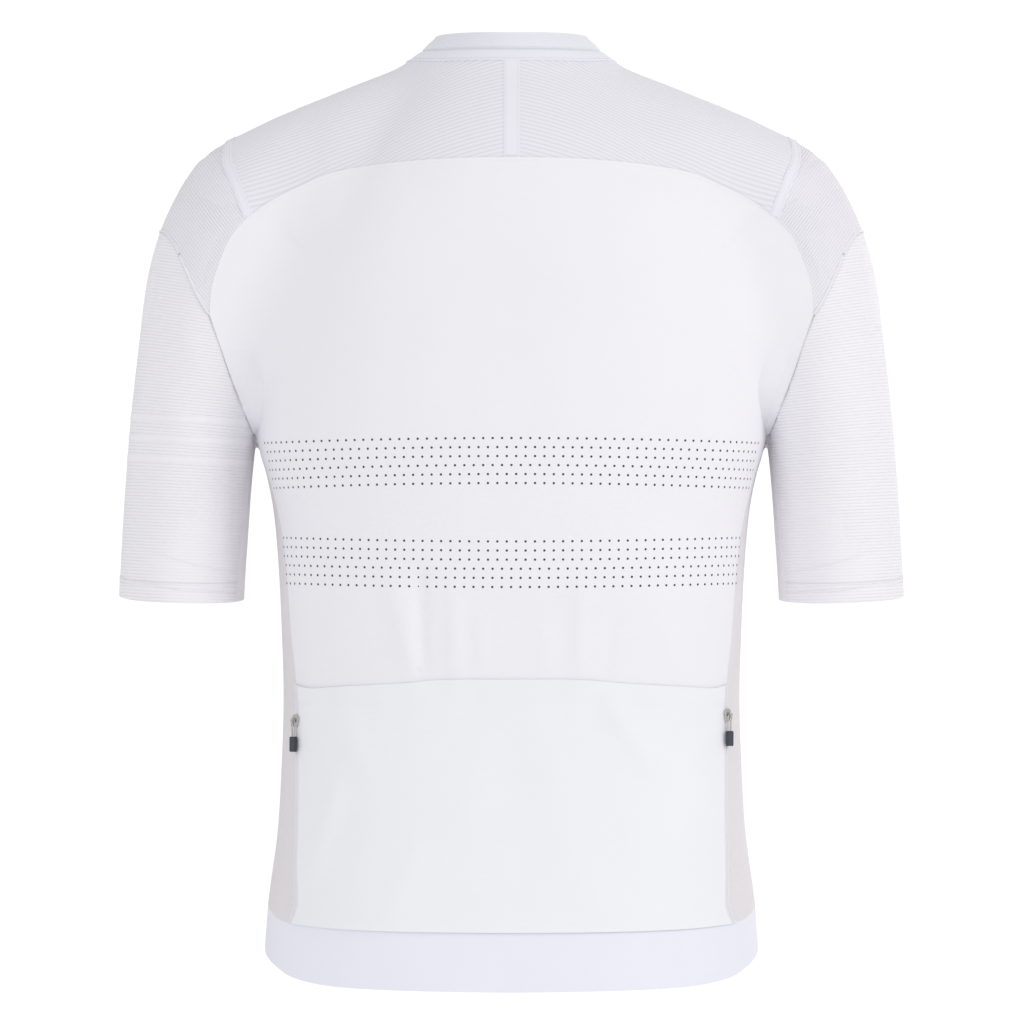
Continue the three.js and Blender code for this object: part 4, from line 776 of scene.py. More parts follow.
# %% Back panel
PER_CELL = 8
BACK_CELLS = 2 * CELLS["arch"]
UPPER_CELLS = CELLS["side_upper"] + CELLS["sleeve_back"] + CELLS["cap_back"]
BACK_LIP = {"reach": 3.0, "side_height": 0.5, "arch_height": 0.45}
left, right = SEAMS[-1], SEAMS[1]
pocket_both = np.vstack([mirrored(left["pocket_top"][::-1])[:-1], right["pocket_top"]])
pocket_line = chart_curve(TrunkChart, pocket_both[::4], 2 * FINE, 1)
back_angles = np.linspace(-180 - left["hem_angle"], right["hem_angle"], 2 * FINE)


def back_hem(height):
    """The hem's line over the back, with each half settled on its own side."""
    on_left = back_angles < -90
    half = np.where(on_left, -180 - back_angles, back_angles)
    return np.where(on_left[:, None], mirrored(hem_points(half, height, -1)), hem_points(half, height, 1))


hem_line = back_hem(hem_seam)
hem_line[0], hem_line[-1] = mirrored(left["side_lower"][:1])[0], right["side_lower"][0]
across = places(BACK_CELLS, PER_CELL)
pocket_edge = edge((pocket_line, BACK_CELLS))
lower = patch(TrunkChart, edge((hem_line, BACK_CELLS)), pocket_edge,
              along_seams(left, "side_lower", side=-1), along_seams(right, "side_lower"),
              across, places(CELLS["side_lower"], PER_CELL), 1)
arch_both = edge((mirrored(left["arch"][::-1]), CELLS["arch"]), (right["arch"], CELLS["arch"]))
upper = patch(TrunkChart, pocket_edge, arch_both,
              along_seams(left, "side_upper", "-sleeve_back", "-cap_back", side=-1),
              along_seams(right, "side_upper", "-sleeve_back", "-cap_back"),
              across, places(UPPER_CELLS, PER_CELL), 1)
back_grid = np.concatenate([lower, upper[1:]])


def back_relief(points, u, v):
    """The turned edge: a lip along the arch and beside the sleeves, from the armpit upwards."""
    from_side, from_arch = np.minimum(u, u[:, -1:] - u), v[-1:] - v
    side_lip = BACK_LIP["side_height"] * np.exp(-((from_side / BACK_LIP["reach"]) ** 2))
    arch_lip = BACK_LIP["arch_height"] * np.exp(-((from_arch / BACK_LIP["reach"]) ** 2))
    return np.maximum(side_lip * smooth_step(-300, -262, points[..., 2]), arch_lip)


cloth_piece("back_panel", back_grid, 1, "back_cloth", relief=back_relief, step=4)

# %% [markdown]
# ## The pocket panel
# Three pockets in one wide piece, laid on the back panel and sewn down at its sides and foot. Here it is one
# closed layer, since no line between the pockets shows. Its top edge is turned over elastic, so it is drawn
# into small waves and stands a little off the back.

# %% Pocket panel and the zip strips beside it
def cut_rows(grid, start_mm, end_mm, count):
    """Each row of a grid between two distances from its start; an end below 0 counts from the row's end."""
    rows = []
    for line in grid:
        length = lengths(line)[-1]
        last = end_mm if end_mm > 0 else length + end_mm
        rows.append(resample(line, np.linspace(start_mm, last, count) / length))
    return np.array(rows)


POCKET_WAVES = table("place spacing height", [
    (0.06, 9, 0.5), (0.14, 12, 0.8), (0.21, 8, 0.5), (0.3, 14, 0.9), (0.38, 9, 0.6), (0.47, 12, 0.7),
    (0.55, 9, 0.5), (0.63, 13, 0.9), (0.72, 9, 0.6), (0.81, 14, 0.8), (0.89, 10, 0.6), (0.95, 8, 0.4)])


def pocket_relief(points, u, v):
    """Waves that fade below the top edge, a doubled hem, and a foot that rises off the band's seam."""
    top, foot = v[-1:] - v, v
    width = u[:, -1:]
    rise = 0.45 * (1 - smooth_step(11, 12.4, top)) + 0.5 * np.exp(-((foot / 2.2) ** 2))
    for place, spacing, height in zip(*POCKET_WAVES.values()):
        rise = rise + height * np.exp(-(((u - place * width) / spacing) ** 2)) * np.exp(-((top / 26) ** 2))
    return rise


pocket_grid = cut_rows(lower, POCKET_ZIP_WIDTH, -POCKET_ZIP_WIDTH, lower.shape[1])
cloth_piece("pocket_panel", pocket_grid, 1, "pocket_cloth", lift=LAYER_LIFT, relief=pocket_relief, step=4)


def welt_relief(points, u, v):
    """Two folded lips that meet in the middle of the strip, over the closed zip."""
    half = u[:, -1:] / 2
    return 0.35 * np.abs(np.sin(np.pi * u / half)) ** 0.6 - 0.35 * np.exp(-(((u - half) / 0.3) ** 2))


for side, name in SIDE_NAMES.items():
    strip = cut_rows(lower[:, ::-1] if side > 0 else lower, 0, POCKET_ZIP_WIDTH, 17)
    cloth_piece(f"pocket_zip_{name}", strip, 1, "zip_cloth", lift=LAYER_LIFT, relief=welt_relief, step=4)

# %% [markdown]
# ## Fronts, hem band and zip
# Each front is one piece with the side, from the zip round to the side seam on the back. The hem band is a
# smooth stretch band in three pieces.

# %% Fronts and hem band
FRONT_ROWS = 25
FRONT_CELLS = CELLS["neck_front"] + CELLS["yoke_front"]
FRONT_PER_CELL = 6
BAND_ROWS = 13
FRONT_HEIGHTS = table("row height", [(0, -574), (6, -428), (12, -285), (16, -236), (21, -140), (25, -58)])
front_height = column(FRONT_HEIGHTS, "row", "height")


def zip_edge(heights, side):
    """The front edge beside the zip, straight back from the front on to the skin."""
    start = np.stack([0 * heights + FRONT_ZIP_HALF, 0 * heights + AHEAD, heights], axis=1)
    return settle(start, [0, -1, 0], side, 0, AHEAD, False)


def side_by_row(line):
    """A side of a patch whose line was drawn at even steps of the table's row number."""
    def read(rows):
        """Points at row numbers."""
        place = rows / FRONT_ROWS * (len(line) - 1)
        return np.stack([np.interp(place, np.arange(len(line)), line[:, axis]) for axis in range(3)], axis=1)
    return read


def hem_band(foot, seam, columns):
    """Rows of points from the hem's edge up to its seam."""
    share = np.linspace(0, 1, BAND_ROWS)[:, None, None]
    at = np.linspace(0, 1, columns)
    return (1 - share) * resample(foot, at)[None] + share * resample(seam, at)[None]


front_edges = {}
for side, seams in SEAMS.items():
    name = SIDE_NAMES[side]
    line = zip_edge(front_height(np.linspace(0, FRONT_ROWS, 4 * FINE)), side)
    line[-1] = seams["neck_front"][-1]
    front_edges[side] = line
    angles = np.linspace(TrunkChart.read(line[:1])[0, 0], seams["hem_angle"], 2 * FINE)
    seam = hem_points(angles, hem_seam, side)
    seam[0], seam[-1] = line[0], seams["side_lower"][0]
    top = along_seams(seams, "-neck_front", "yoke_front")
    far = along_seams(seams, "side_lower", "side_upper", "underarm", "-sleeve_front", "-cap_front")
    front = patch(TrunkChart, edge((seam, FRONT_CELLS)), top, side_by_row(line), far,
                  places(FRONT_CELLS, FRONT_PER_CELL), places(FRONT_ROWS, FRONT_PER_CELL), side)
    cloth_piece(f"front_{name}", front, side, "side_cloth", step=2)
    band = hem_band(hem_points(angles, hem_edge, side), seam, 121)
    cloth_piece(f"hem_band_{name}", band, side, "hem_cloth", step=3)
cloth_piece("hem_band_back", hem_band(back_hem(hem_edge), hem_line, 181), 1, "hem_cloth", step=3)

# %% [markdown]
# ## Ribbed yokes, caps and sleeves
# These pieces are a ribbed knit: fine raised cords side by side. A bump map would do for a far view, but the
# cords catch the light at the shoulder's edge, so they are raised in the mesh itself. Where a cord would
# get too few points of the mesh, the material's bump takes it over, reading the same phase at each point.
# On the yoke the cords fall outwards from the middle, on the cap they run steeply beside the shoulder
# seam, and on the sleeve they go round the arm.

# %% Rib functions
YOKE_RIB, CAP_RIB, SLEEVE_RIB = 4.1, 1.95, 2.25
RIB_HEIGHT = 0.25


def cords(phase):
    """Rounded cords with narrow grooves between them: |sin|, from 0 in a groove to 1 on a cord's back."""
    return np.abs(np.sin(np.pi * phase)) ** 0.8


def fine_enough(phase):
    """1 where the mesh has over five points to a cord, 0 where it has under three and a half."""
    step = np.maximum(np.abs(np.gradient(phase, axis=0)), np.abs(np.gradient(phase, axis=1)))
    return 1 - smooth_step(0.19, 0.29, step)


def raised_cords(phase):
    """Cords in the mesh where it is fine enough; the material carries on with them elsewhere."""
    return RIB_HEIGHT * cords(phase) * fine_enough(phase)


def rib_masks(phase, painted_shade, plain=0.0):
    """What the material reads: the phase, the share of cords left to it, lines of painted shade, and plain
    places.
    """
    # The shade mask is painted shade: dark lines along seams, folds and hems, where shade falls.
    return {"rib_phase": phase, "rib_flat": 1 - fine_enough(phase), "painted_shade": painted_shade,
            "plain": plain + 0 * phase}


def yoke_phase(points):
    """Slanting planes: the cords fall outwards, and turn over the shoulder to the front."""
    x, y, z = np.abs(points[..., 0]), points[..., 1], points[..., 2]
    return (z + 0.3 * x - np.sqrt(y * y + 20.0 ** 2)) / YOKE_RIB


def yoke_relief(points, u, v):
    """Cords all over."""
    return raised_cords(yoke_phase(points))


def yoke_masks(points, u, v):
    """The cords, and a painted shade line along the arched seam."""
    return rib_masks(yoke_phase(points), 0.35 * np.exp(-((v / 0.9) ** 2)))


def cap_phase(points):
    """Planes that stand steeply, about 53 degrees as seen from behind."""
    return (0.8 * np.abs(points[..., 0]) - 0.6 * points[..., 2]) / CAP_RIB


def cap_relief(points, u, v):
    """Cords all over."""
    return raised_cords(cap_phase(points))


def cap_masks(points, u, v):
    """The cords, and a painted shade line above the welt of the cap's seam."""
    return rib_masks(cap_phase(points), 0.6 * np.exp(-((v / 1.0) ** 2)))


# %% Yokes and caps
# Rows for each cell from the arch to the front, most where the cords are seen from behind
YOKE_ROWS = [46, 46, 46, 36, 34, 30, 26, 24, 20, 20]
YOKE_COLUMNS, CAP_COLUMNS, CAP_ROWS = 16, 20, 44
for side, seams in SEAMS.items():
    name = SIDE_NAMES[side]
    yoke = patch(YokeChart, along_seams(seams, "arch"), along_seams(seams, "yoke_front"),
                 along_seams(seams, "centre_edge", "neck_back"), along_seams(seams, "shoulder"),
                 places(CELLS["arch"], YOKE_COLUMNS), places(CELLS["shoulder"], YOKE_ROWS), side)
    cloth_piece(f"yoke_{name}", yoke, side, "yoke_cloth", relief=yoke_relief, step=4, masks=yoke_masks)
    cap = patch(ArmChart, along_seams(seams, "cap_seam"), along_seams(seams, "shoulder"),
                along_seams(seams, "-cap_back"), along_seams(seams, "-cap_front"),
                places(CELLS["cap_seam"], CAP_COLUMNS), places(CELLS["cap_back"], CAP_ROWS), side)
    cloth_piece(f"sleeve_cap_{name}", cap, side, "cap_cloth", relief=cap_relief, step=4, masks=cap_masks)

# %% Sleeves
STRIPES = {"first": -252.0, "pitch": 14.0, "count": 3, "half_width": 2.0, "softness": 0.6}
CUFF_HEM = 14.0
SLEEVE_CELLS = CELLS["sleeve_back"] + CELLS["cap_seam"] + CELLS["sleeve_front"]
# Columns for each cell from the back round the outside to the front, most at the back
SLEEVE_COLUMNS = [10] * 5 + [8] * 10 + [6] * 5
SLEEVE_ROW_CELLS, SLEEVE_ROWS, STRIP_PER_CELL = 9, 40, 8
SLEEVES = {}


def stripe_mask(points):
    """Three narrow smooth stripes round the left sleeve, soft at their edges."""
    level = points[..., 2] - 0.05 * (np.abs(points[..., 0]) - 235)
    mask = np.zeros_like(level)
    inner = STRIPES["half_width"] - STRIPES["softness"]
    outer = STRIPES["half_width"] + STRIPES["softness"]
    for index in range(STRIPES["count"]):
        off = np.abs(level - STRIPES["first"] + index * STRIPES["pitch"])
        mask = np.maximum(mask, 1 - smooth_step(inner, outer, off))
    return mask * (points[..., 0] < 0)


def sleeve_phase(points):
    """Nearly level planes that fall towards the trunk, more so near the cap's seam."""
    x, z = np.abs(points[..., 0]), points[..., 2]
    slope = 0.04 + 0.16 * smooth_step(-320, -130, z)
    return (z - slope * (x - 235)) / SLEEVE_RIB


def sleeve_relief(points, u, v):
    """Cords, plain in the stripes, with a turned hem and soft creases."""
    stripes = stripe_mask(points)
    hem = 0.3 * (1 - smooth_step(CUFF_HEM - 0.6, CUFF_HEM + 0.6, v))
    folds = fold_rise(SLEEVE_FOLDS, points[..., 0], points[..., 1], points[..., 2])
    return raised_cords(sleeve_phase(points)) * (1 - stripes) + 0.3 * stripes + hem + folds


def sleeve_masks(points, u, v):
    """The cords, a painted shade line along the hem's row, the stripes, and a painted shadow under the back
    panel's loose edge.
    """
    from_top, low = v[-1:] - v, smooth_step(-195, -240, points[..., 2])
    # Painted shadow under the back panel's loose edge, deeper towards the armpit, and painted shade along the
    # hem's turned edge.
    under_edge = (0.5 + low) * np.exp(-((from_top / (1.8 + 1.4 * low)) ** 2)) * (points[..., 1] < 0)
    hem_edge_shade = 0.28 * np.exp(-(((v - CUFF_HEM) / 0.45) ** 2))
    stripes = stripe_mask(points)
    return rib_masks(sleeve_phase(points), np.maximum(under_edge, hem_edge_shade), stripes)


for side, seams in SEAMS.items():
    name = SIDE_NAMES[side]
    foot = cuff_points(np.linspace(STRIP_BACK_TURN, STRIP_FRONT_TURN - 360, 4 * FINE), side)
    back_line = chart_curve(ArmChart, [foot[0], seams["sleeve_back"][-1]], FINE, side)
    front_line = chart_curve(SleeveFrontChart, [foot[-1], seams["sleeve_front"][-1]], FINE, side)
    near, far = edge((back_line, SLEEVE_ROW_CELLS)), edge((front_line, SLEEVE_ROW_CELLS))
    sleeve = patch(SleeveChart, edge((foot, SLEEVE_CELLS)),
                   along_seams(seams, "-sleeve_back", "cap_seam", "sleeve_front"), near, far,
                   places(SLEEVE_CELLS, SLEEVE_COLUMNS), places(SLEEVE_ROW_CELLS, SLEEVE_ROWS), side)
    SLEEVES[name] = sleeve * [side, 1, 1]
    cloth_piece(f"sleeve_{name}", sleeve, side, "sleeve_cloth", relief=sleeve_relief, step=4,
                masks=sleeve_masks)
    strip_foot = cuff_points(np.linspace(STRIP_BACK_TURN, STRIP_FRONT_TURN, FINE), side)
    under = patch(UnderChart, edge((strip_foot, CELLS["underarm"])), along_seams(seams, "underarm"),
                  near, far, places(CELLS["underarm"], STRIP_PER_CELL),
                  places(SLEEVE_ROW_CELLS, STRIP_PER_CELL), side)
    cloth_piece(f"underarm_strip_{name}", under, side, "strip_cloth", step=4)

# %% [markdown]
# ## Tapes and collar
# A smooth tape covers each shoulder seam and another runs down the middle of the yoke. The collar is a
# low stand in two bands: a smooth lower one, and an upper one with fine level ribs, folded at the middle.

# %% Shoulder tapes and the tape down the middle
def tape_beside(line, side, half_width, count):
    """A band about a line on the skin: points moved aside along the skin, square to the line."""
    ahead = np.gradient(line, axis=0)
    ahead /= np.linalg.norm(ahead, axis=1)[:, None]
    aside = np.cross(ahead, skin_normal(line, side))
    offsets = np.linspace(-half_width, half_width, count)[:, None, None]
    return line[None] + offsets * aside[None]


def tape_relief(points, u, v):
    """A soft-edged tape with two sewn grooves."""
    width = v[-1:]
    edge_drop = -0.25 * (1 - smooth_step(0, 0.6, np.minimum(v, width - v)))
    grooves = -0.16 * (np.exp(-(((v - 1.3) / 0.25) ** 2)) + np.exp(-(((width - v - 1.3) / 0.25) ** 2)))
    return edge_drop + grooves


TAPES = {}
TAPE_LIFT, TAPE_WALL = 0.75, 0.9
for side, seams in SEAMS.items():
    name = SIDE_NAMES[side]
    tape = tape_beside(seams["shoulder"], side, SHOULDER_TAPE_WIDTH / 2 + 0.2, 17)
    TAPES[name] = tape * [side, 1, 1]
    cloth_piece(f"shoulder_tape_{name}", tape, side, "tape", lift=TAPE_LIFT, wall=TAPE_WALL,
                relief=tape_relief, step=4)

rows = np.linspace(0, 1, 97)
left_line = resample(mirrored(left["centre_edge"]), rows)
right_line = resample(right["centre_edge"], rows)
widths = np.linspace(0, 1, 17)[:, None, None]
middle_tape = (1 - widths) * left_line[None] + widths * right_line[None]
middle_tape = YokeChart.place(YokeChart.read(middle_tape.reshape(-1, 3)), 1).reshape(middle_tape.shape)
cloth_piece("back_tape", middle_tape, 1, "tape", lift=TAPE_LIFT, wall=TAPE_WALL, relief=tape_relief, step=4)


# %% Collar
def collar_line(share):
    """The ring from the zip round the back to the zip again, at a share of the collar's height."""
    halves = {side: neck_points(np.linspace(seams["zip_angle"], seams["tape_angle"], 121), share, side)
              for side, seams in SEAMS.items()}
    return np.vstack([halves[1], mirrored(halves[-1])[::-1]])


COLLAR_ROWS = 56
COLLAR_RIB = 1.9
collar = np.array([collar_line(share) for share in np.linspace(0, 1, COLLAR_ROWS + 1)])
ring = np.linspace(0, 1, 193)
collar = np.array([resample(line, ring) for line in collar])


def collar_relief(points, u, v):
    """A rolled rim, fine level ribs on the upper band, a fold line, and a smooth lower band."""
    share = v / v[-1:]
    fold = -1.0 * np.exp(-(((share - 0.46) / 0.06) ** 2))
    ribs = 0.2 * cords(v / COLLAR_RIB) * smooth_step(0.5, 0.56, share)
    upper_belly = 0.7 * np.sin(np.pi * np.clip((share - 0.48) / 0.52, 0, 1))
    lower_belly = 0.45 * np.sin(np.pi * np.clip(share / 0.45, 0, 1))
    rim = 0.3 * smooth_step(0.93, 0.98, share)
    return upper_belly + lower_belly + fold + ribs + rim


def collar_masks(points, u, v):
    """Painted shade in the fold line and in the fine grooves above it."""
    share = v / v[-1:]
    # Painted shade in the grooves between the ribs, and in the fold line below them.
    grooves = 0.25 * (1 - cords(v / COLLAR_RIB)) * smooth_step(0.5, 0.56, share)
    return {"painted_shade": np.maximum(0.45 * np.exp(-(((share - 0.44) / 0.07) ** 2)), grooves)}


cloth_piece("collar", collar, 1, "collar_cloth", lift=0.3, wall=COLLAR_WALL, relief=collar_relief, step=4,
            masks=collar_masks)

# %% Front zip strip with its teeth
zip_heights = np.linspace(hem_edge(90.0), hem_seam(90.0), 9)[:-1]
zip_steps = np.linspace(0, 1, 161)
right_zip = np.vstack([zip_edge(zip_heights, 1), resample(front_edges[1], zip_steps), collar[1:, 0]])
left_zip = np.vstack([mirrored(zip_edge(zip_heights, -1)), resample(mirrored(front_edges[-1]), zip_steps),
                      collar[1:, -1]])
zip_length = np.linspace(0, 1, 205)
right_zip, left_zip = resample(right_zip, zip_length), resample(left_zip, zip_length)
zip_grid = (1 - widths) * left_zip[None] + widths * right_zip[None]


def zip_relief(points, u, v):
    """Two tapes with a coil bed between them."""
    half = v[-1:] / 2
    return -0.25 * (1 - smooth_step(0.9, 1.5, np.abs(v - half)))


cloth_piece("front_zip", zip_grid, 1, "zip_cloth", wall=TAPE_WALL, relief=zip_relief, step=4)

# %% [markdown]
# ## Printed dots
# Two bands of small dark dots, six rows each, run across the back: a plain reflective print. Each dot is a
# very low lens on the cloth. They are laid at an even step along each row, measured on the skin, so they
# close up towards the sides as the cloth turns away.

# %% Dots
DOT_RADIUS, DOT_STEP, DOT_HEIGHT = 0.85, 6.35, 0.12
DOT_BANDS = table("top_z bottom_z top_half bottom_half sag", [
    (-264.6, -296.1, 173.0, 166.6, 3.5), (-337.0, -368.9, 160.2, 157.4, -2.6)])


def dot_rows():
    """Dot centres: rows spread between a band's top and bottom, bowed by its sag, at even steps."""
    centres = []
    for top_z, bottom_z, top_half, bottom_half, sag in zip(*DOT_BANDS.values()):
        for share in np.linspace(0, 1, 6):
            half = top_half + (bottom_half - top_half) * share
            x = np.linspace(-half, half, 301)
            z = top_z + (bottom_z - top_z) * share - sag * (x / half) ** 2
            on_left, on_right = in_sight(np.abs(x), z, -1), in_sight(np.abs(x), z, 1)
            row = np.where((x < 0)[:, None], mirrored(on_left), on_right)
            total = lengths(row)[-1]
            count = int(total // DOT_STEP)
            centres.append(resample(row, 0.5 + (np.arange(count + 1) - count / 2) * DOT_STEP / total))
    return np.vstack(centres)


def fans(count, sides, rim_start, top, bottom):
    """Faces of so many closed lenses: a fan from the top point over the rim, and one below it."""
    rim, ahead = rim_start + np.arange(sides), rim_start + (np.arange(sides) + 1) % sides
    one = np.vstack([np.stack([0 * rim + top, rim, ahead], axis=1),
                     np.stack([0 * rim + bottom, ahead, rim], axis=1)])
    return (one[None] + (np.arange(count) * (sides + 2))[:, None, None]).reshape(-1, 3).tolist()


def lens_field(centres, normals, radius, height, sides=10):
    """Low lenses: a raised middle point, a rim on the cloth and a middle point below, for each centre."""
    helper = np.where(np.abs(normals[:, 2:]) < 0.9, [[0.0, 0, 1]], [[1.0, 0, 0]])
    first = np.cross(helper, normals)
    first /= np.linalg.norm(first, axis=1)[:, None]
    second = np.cross(normals, first)
    angle = np.linspace(0, 2 * np.pi, sides, endpoint=False)
    rim = centres[:, None] + radius * (np.cos(angle)[None, :, None] * first[:, None]
                                       + np.sin(angle)[None, :, None] * second[:, None])
    points = np.concatenate([centres[:, None] + height * normals[:, None], rim,
                             centres[:, None] - 0.1 * normals[:, None]], axis=1)
    return points.reshape(-1, 3), fans(len(centres), sides, 1, 0, sides + 1)


dot_centres = dot_rows()
dot_side = np.where(dot_centres[:, 0] < 0, -1.0, 1.0)
dot_normals = np.empty_like(dot_centres)
for side in (-1, 1):
    here = dot_side == side
    half_points = dot_centres[here] * [side, 1, 1]
    dot_normals[here] = skin_normal(half_points, side) * [side, 1, 1]
dot_points, dot_faces = lens_field(dot_centres + 0.03 * dot_normals, dot_normals, DOT_RADIUS, DOT_HEIGHT)
dots = make_piece("printed_dots", dot_points, dot_faces)
print("dots", len(dot_centres))

# %% [markdown]
# ## Seams and stitches
# A flat seam shows as a low welt, and a hem as one or two rows of stitches. A welt is a thin cord carried
# along its seam. A stitch is a small grain of thread, set down again and again at an even step.

# %% Welts along seams
def tube(line, radius, sides=6):
    """A closed cord of points round a line, pinched at both ends."""
    ahead = np.gradient(line, axis=0)
    ahead /= np.linalg.norm(ahead, axis=1)[:, None]
    helper = np.where(np.abs(ahead[:, 2:]) < 0.8, [[0.0, 0, 1]], [[0.0, 1, 0]])
    first = np.cross(helper, ahead)
    first /= np.linalg.norm(first, axis=1)[:, None]
    second = np.cross(ahead, first)
    angle = np.linspace(0, 2 * np.pi, sides, endpoint=False)
    radii = np.full(len(line), radius)
    radii[[0, -1]] *= 0.15
    ring = line[:, None] + radii[:, None, None] * (np.cos(angle)[None, :, None] * first[:, None]
                                                  + np.sin(angle)[None, :, None] * second[:, None])
    index = np.arange(ring.shape[0] * sides).reshape(-1, sides)
    turned = np.roll(index, -1, axis=1)
    faces = np.stack([index[:-1], turned[:-1], turned[1:], index[1:]], axis=-1).reshape(-1, 4).tolist()
    return ring.reshape(-1, 3), faces + [index[0][::-1].tolist(), index[-1].tolist()]


def lifted(line, side, height):
    """A line moved off the skin, in world coordinates."""
    return (line + height * skin_normal(line, side)) * [side, 1, 1]


def joined(parts):
    """Several point and face lists as one."""
    points, faces, start = [], [], 0
    for part_points, part_faces in parts:
        points.append(part_points)
        faces += [[index + start for index in face] for face in part_faces]
        start += len(part_points)
    return np.vstack(points), faces


CAP_WELT = {"radius": 1.0, "lift": 0.05, "sides": 10}
NECK_WELT = {"radius": 0.75, "lift": 0.55}


def make_welts():
    """Welts on the neck seam and the two cap seams."""
    parts = []
    for side, seams in SEAMS.items():
        line = lifted(resample(seams["cap_seam"], np.linspace(0, 1, 120)), side, CAP_WELT["lift"])
        parts.append(tube(line, CAP_WELT["radius"], CAP_WELT["sides"]))
    halves = [lifted(np.vstack([seams["neck_back"], seams["neck_front"][1:]]), side, NECK_WELT["lift"])
              for side, seams in SEAMS.items()]
    line = np.vstack([halves[0][::-1], halves[1]])
    parts.append(tube(resample(line, np.linspace(0, 1, 240)), NECK_WELT["radius"]))
    return joined(parts)


welts = make_piece("seam_welts", *make_welts())

# %% Stitches, tacks and zip teeth
def grains(line, pitch, length, width, height, turn=0.0, lift=0.0):
    """Small lens-shaped grains at even steps along a line on the skin; turn slants each, in degrees."""
    total = lengths(line)[-1]
    count = max(int(total / pitch), 1)
    places_at = (np.arange(count) + 0.5) / count
    centre = resample(line, places_at)
    ahead = resample(line, np.minimum(places_at + 1e-3, 1)) - resample(line, np.maximum(places_at - 1e-3, 0))
    ahead /= np.linalg.norm(ahead, axis=1)[:, None]
    normal = skin_normal(centre, 1)
    aside = np.cross(normal, ahead)
    aside /= np.linalg.norm(aside, axis=1)[:, None]
    slant = math.radians(turn)
    long = math.cos(slant) * ahead + math.sin(slant) * aside
    broad = math.cos(slant) * aside - math.sin(slant) * ahead
    centre = centre + lift * normal
    half, quarter, flank = long * length / 2, long * length / 4, broad * width / 2
    points = np.stack([centre - half, centre - flank - quarter, centre - flank + quarter, centre + half,
                       centre + flank + quarter, centre + flank - quarter,
                       centre + normal * height, centre - normal * 0.1], axis=1)
    return points.reshape(-1, 3), fans(count, 6, 0, 6, 7)


def row_at(grid, distance):
    """The line at a distance from the grid's first row along each column; below 0, from its last row."""
    along = grid_lengths(grid, 0)
    distance = along[-1] + distance if distance < 0 else np.full(grid.shape[1], float(distance))
    index = np.clip((along < distance).sum(axis=0) - 1, 0, grid.shape[0] - 2)
    columns = np.arange(grid.shape[1])
    share = (distance - along[index, columns]) / (along[index + 1, columns] - along[index, columns])
    return grid[index, columns] * (1 - share[:, None]) + grid[index + 1, columns] * share[:, None]


def stitches(line, lift):
    """A row of stitches along a line, so far off the skin."""
    return grains(line, STITCH["pitch"], STITCH["length"], STITCH["width"], STITCH["height"], lift=lift)


STITCH = {"pitch": 2.5, "length": 1.9, "width": 0.42, "height": 0.22}
TAPE_STITCH_LIFT = 0.78
POCKET_STITCH_LIFT = LAYER_LIFT + 0.4
stitch_parts = [stitches(middle_tape[row], TAPE_STITCH_LIFT) for row in (2, 14)]
stitch_parts += [stitches(row_at(lower, -below), POCKET_STITCH_LIFT) for below in (11.6, 9.4)]
stitch_parts += [stitches(row_at(back_grid, -2.6), 0.2), stitches(row_at(collar[:, ::2], 1.6), 0.75)]
for name in ("left", "right"):
    stitch_parts += [stitches(row_at(SLEEVES[name], CUFF_HEM - below), 0.5) for below in (1.2, 3.4)]
    stitch_parts += [stitches(TAPES[name][row], TAPE_STITCH_LIFT) for row in (3, 13)]
threads = make_piece("seam_stitches", *joined(stitch_parts), smooth=False)

TACK_XS = (-65.5, 63.5)


def pocket_tack(x):
    """Slanted grains close together, down from the pocket panel's top edge, at a place across."""
    column_at = int(round(np.interp(x, lower[-1, :, 0], np.arange(lower.shape[1]))))
    line = resample(lower[-14:, column_at], np.linspace(0.1, 1, 30))[-8:]
    return grains(line, 0.55, 1.6, 0.5, 0.35, turn=80, lift=LAYER_LIFT + 0.5)


tape_foot = YokeChart.place(YokeChart.read(middle_tape[2:15, 1]), 1)
tape_tack = grains(tape_foot, 0.5, 1.5, 0.5, 0.35, turn=82, lift=0.85)
tacks = make_piece("pocket_tacks", *joined([pocket_tack(x) for x in TACK_XS] + [tape_tack]), smooth=False)

TOOTH = {"pitch": 1.5, "length": 1.5, "width": 0.9, "height": 0.55, "aside": 0.45, "turn": 62, "lift": -0.1}
tooth_rows = []
for way in (-1, 1):
    line = zip_grid[8] + [way * TOOTH["aside"], 0, 0]
    tooth_rows.append(grains(line, TOOTH["pitch"], TOOTH["length"], TOOTH["width"], TOOTH["height"],
                             turn=-way * TOOTH["turn"], lift=TOOTH["lift"]))
teeth = make_piece("front_zip_teeth", *joined(tooth_rows), smooth=False)
print("stitches", len(threads.data.polygons) // 12, "teeth", len(teeth.data.polygons) // 12)

# %% [markdown]
# ## The cut of each cloth
# Each sheet's flat size is the longest row and column of its patch, as a tailor would lay a tape along
# them. Strips under a centimetre wide, and the print and welts, are gathered with the larger sheet they lie
# on.

TRIMS = {"pocket_panel": ["pocket_zip_left", "pocket_zip_right"], "yoke_left": ["shoulder_tape_left"],
         "yoke_right": ["shoulder_tape_right"], "front_right": ["front_zip"]}
trim_names = [name for names in TRIMS.values() for name in names]
for node, cut in CUTS.items():
    if node in trim_names:
        continue
    on_it = [CUTS[name]["piece"] for name in TRIMS.get(node, [])]
    on_it += {"back_panel": [dots, threads], "collar": [welts], "pocket_panel": [tacks],
              "front_right": [teeth]}.get(node, [])
    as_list(on_it)
print("sheets declared", len(CUTS) - len(trim_names))

# %% [markdown]
# ## Finishes
# Every cloth is a knit: rows of small loops. At this scale they mostly soften the light, so they are a bump
# in the material, laid on each piece's own flat coordinates, with a faint painted shade in their low places.
# The knit, the soft mottling and the threads are node groups, built once, with a value or two for each cloth.

# %% Node groups
FLOAT, VECTOR = "NodeSocketFloat", "NodeSocketVector"


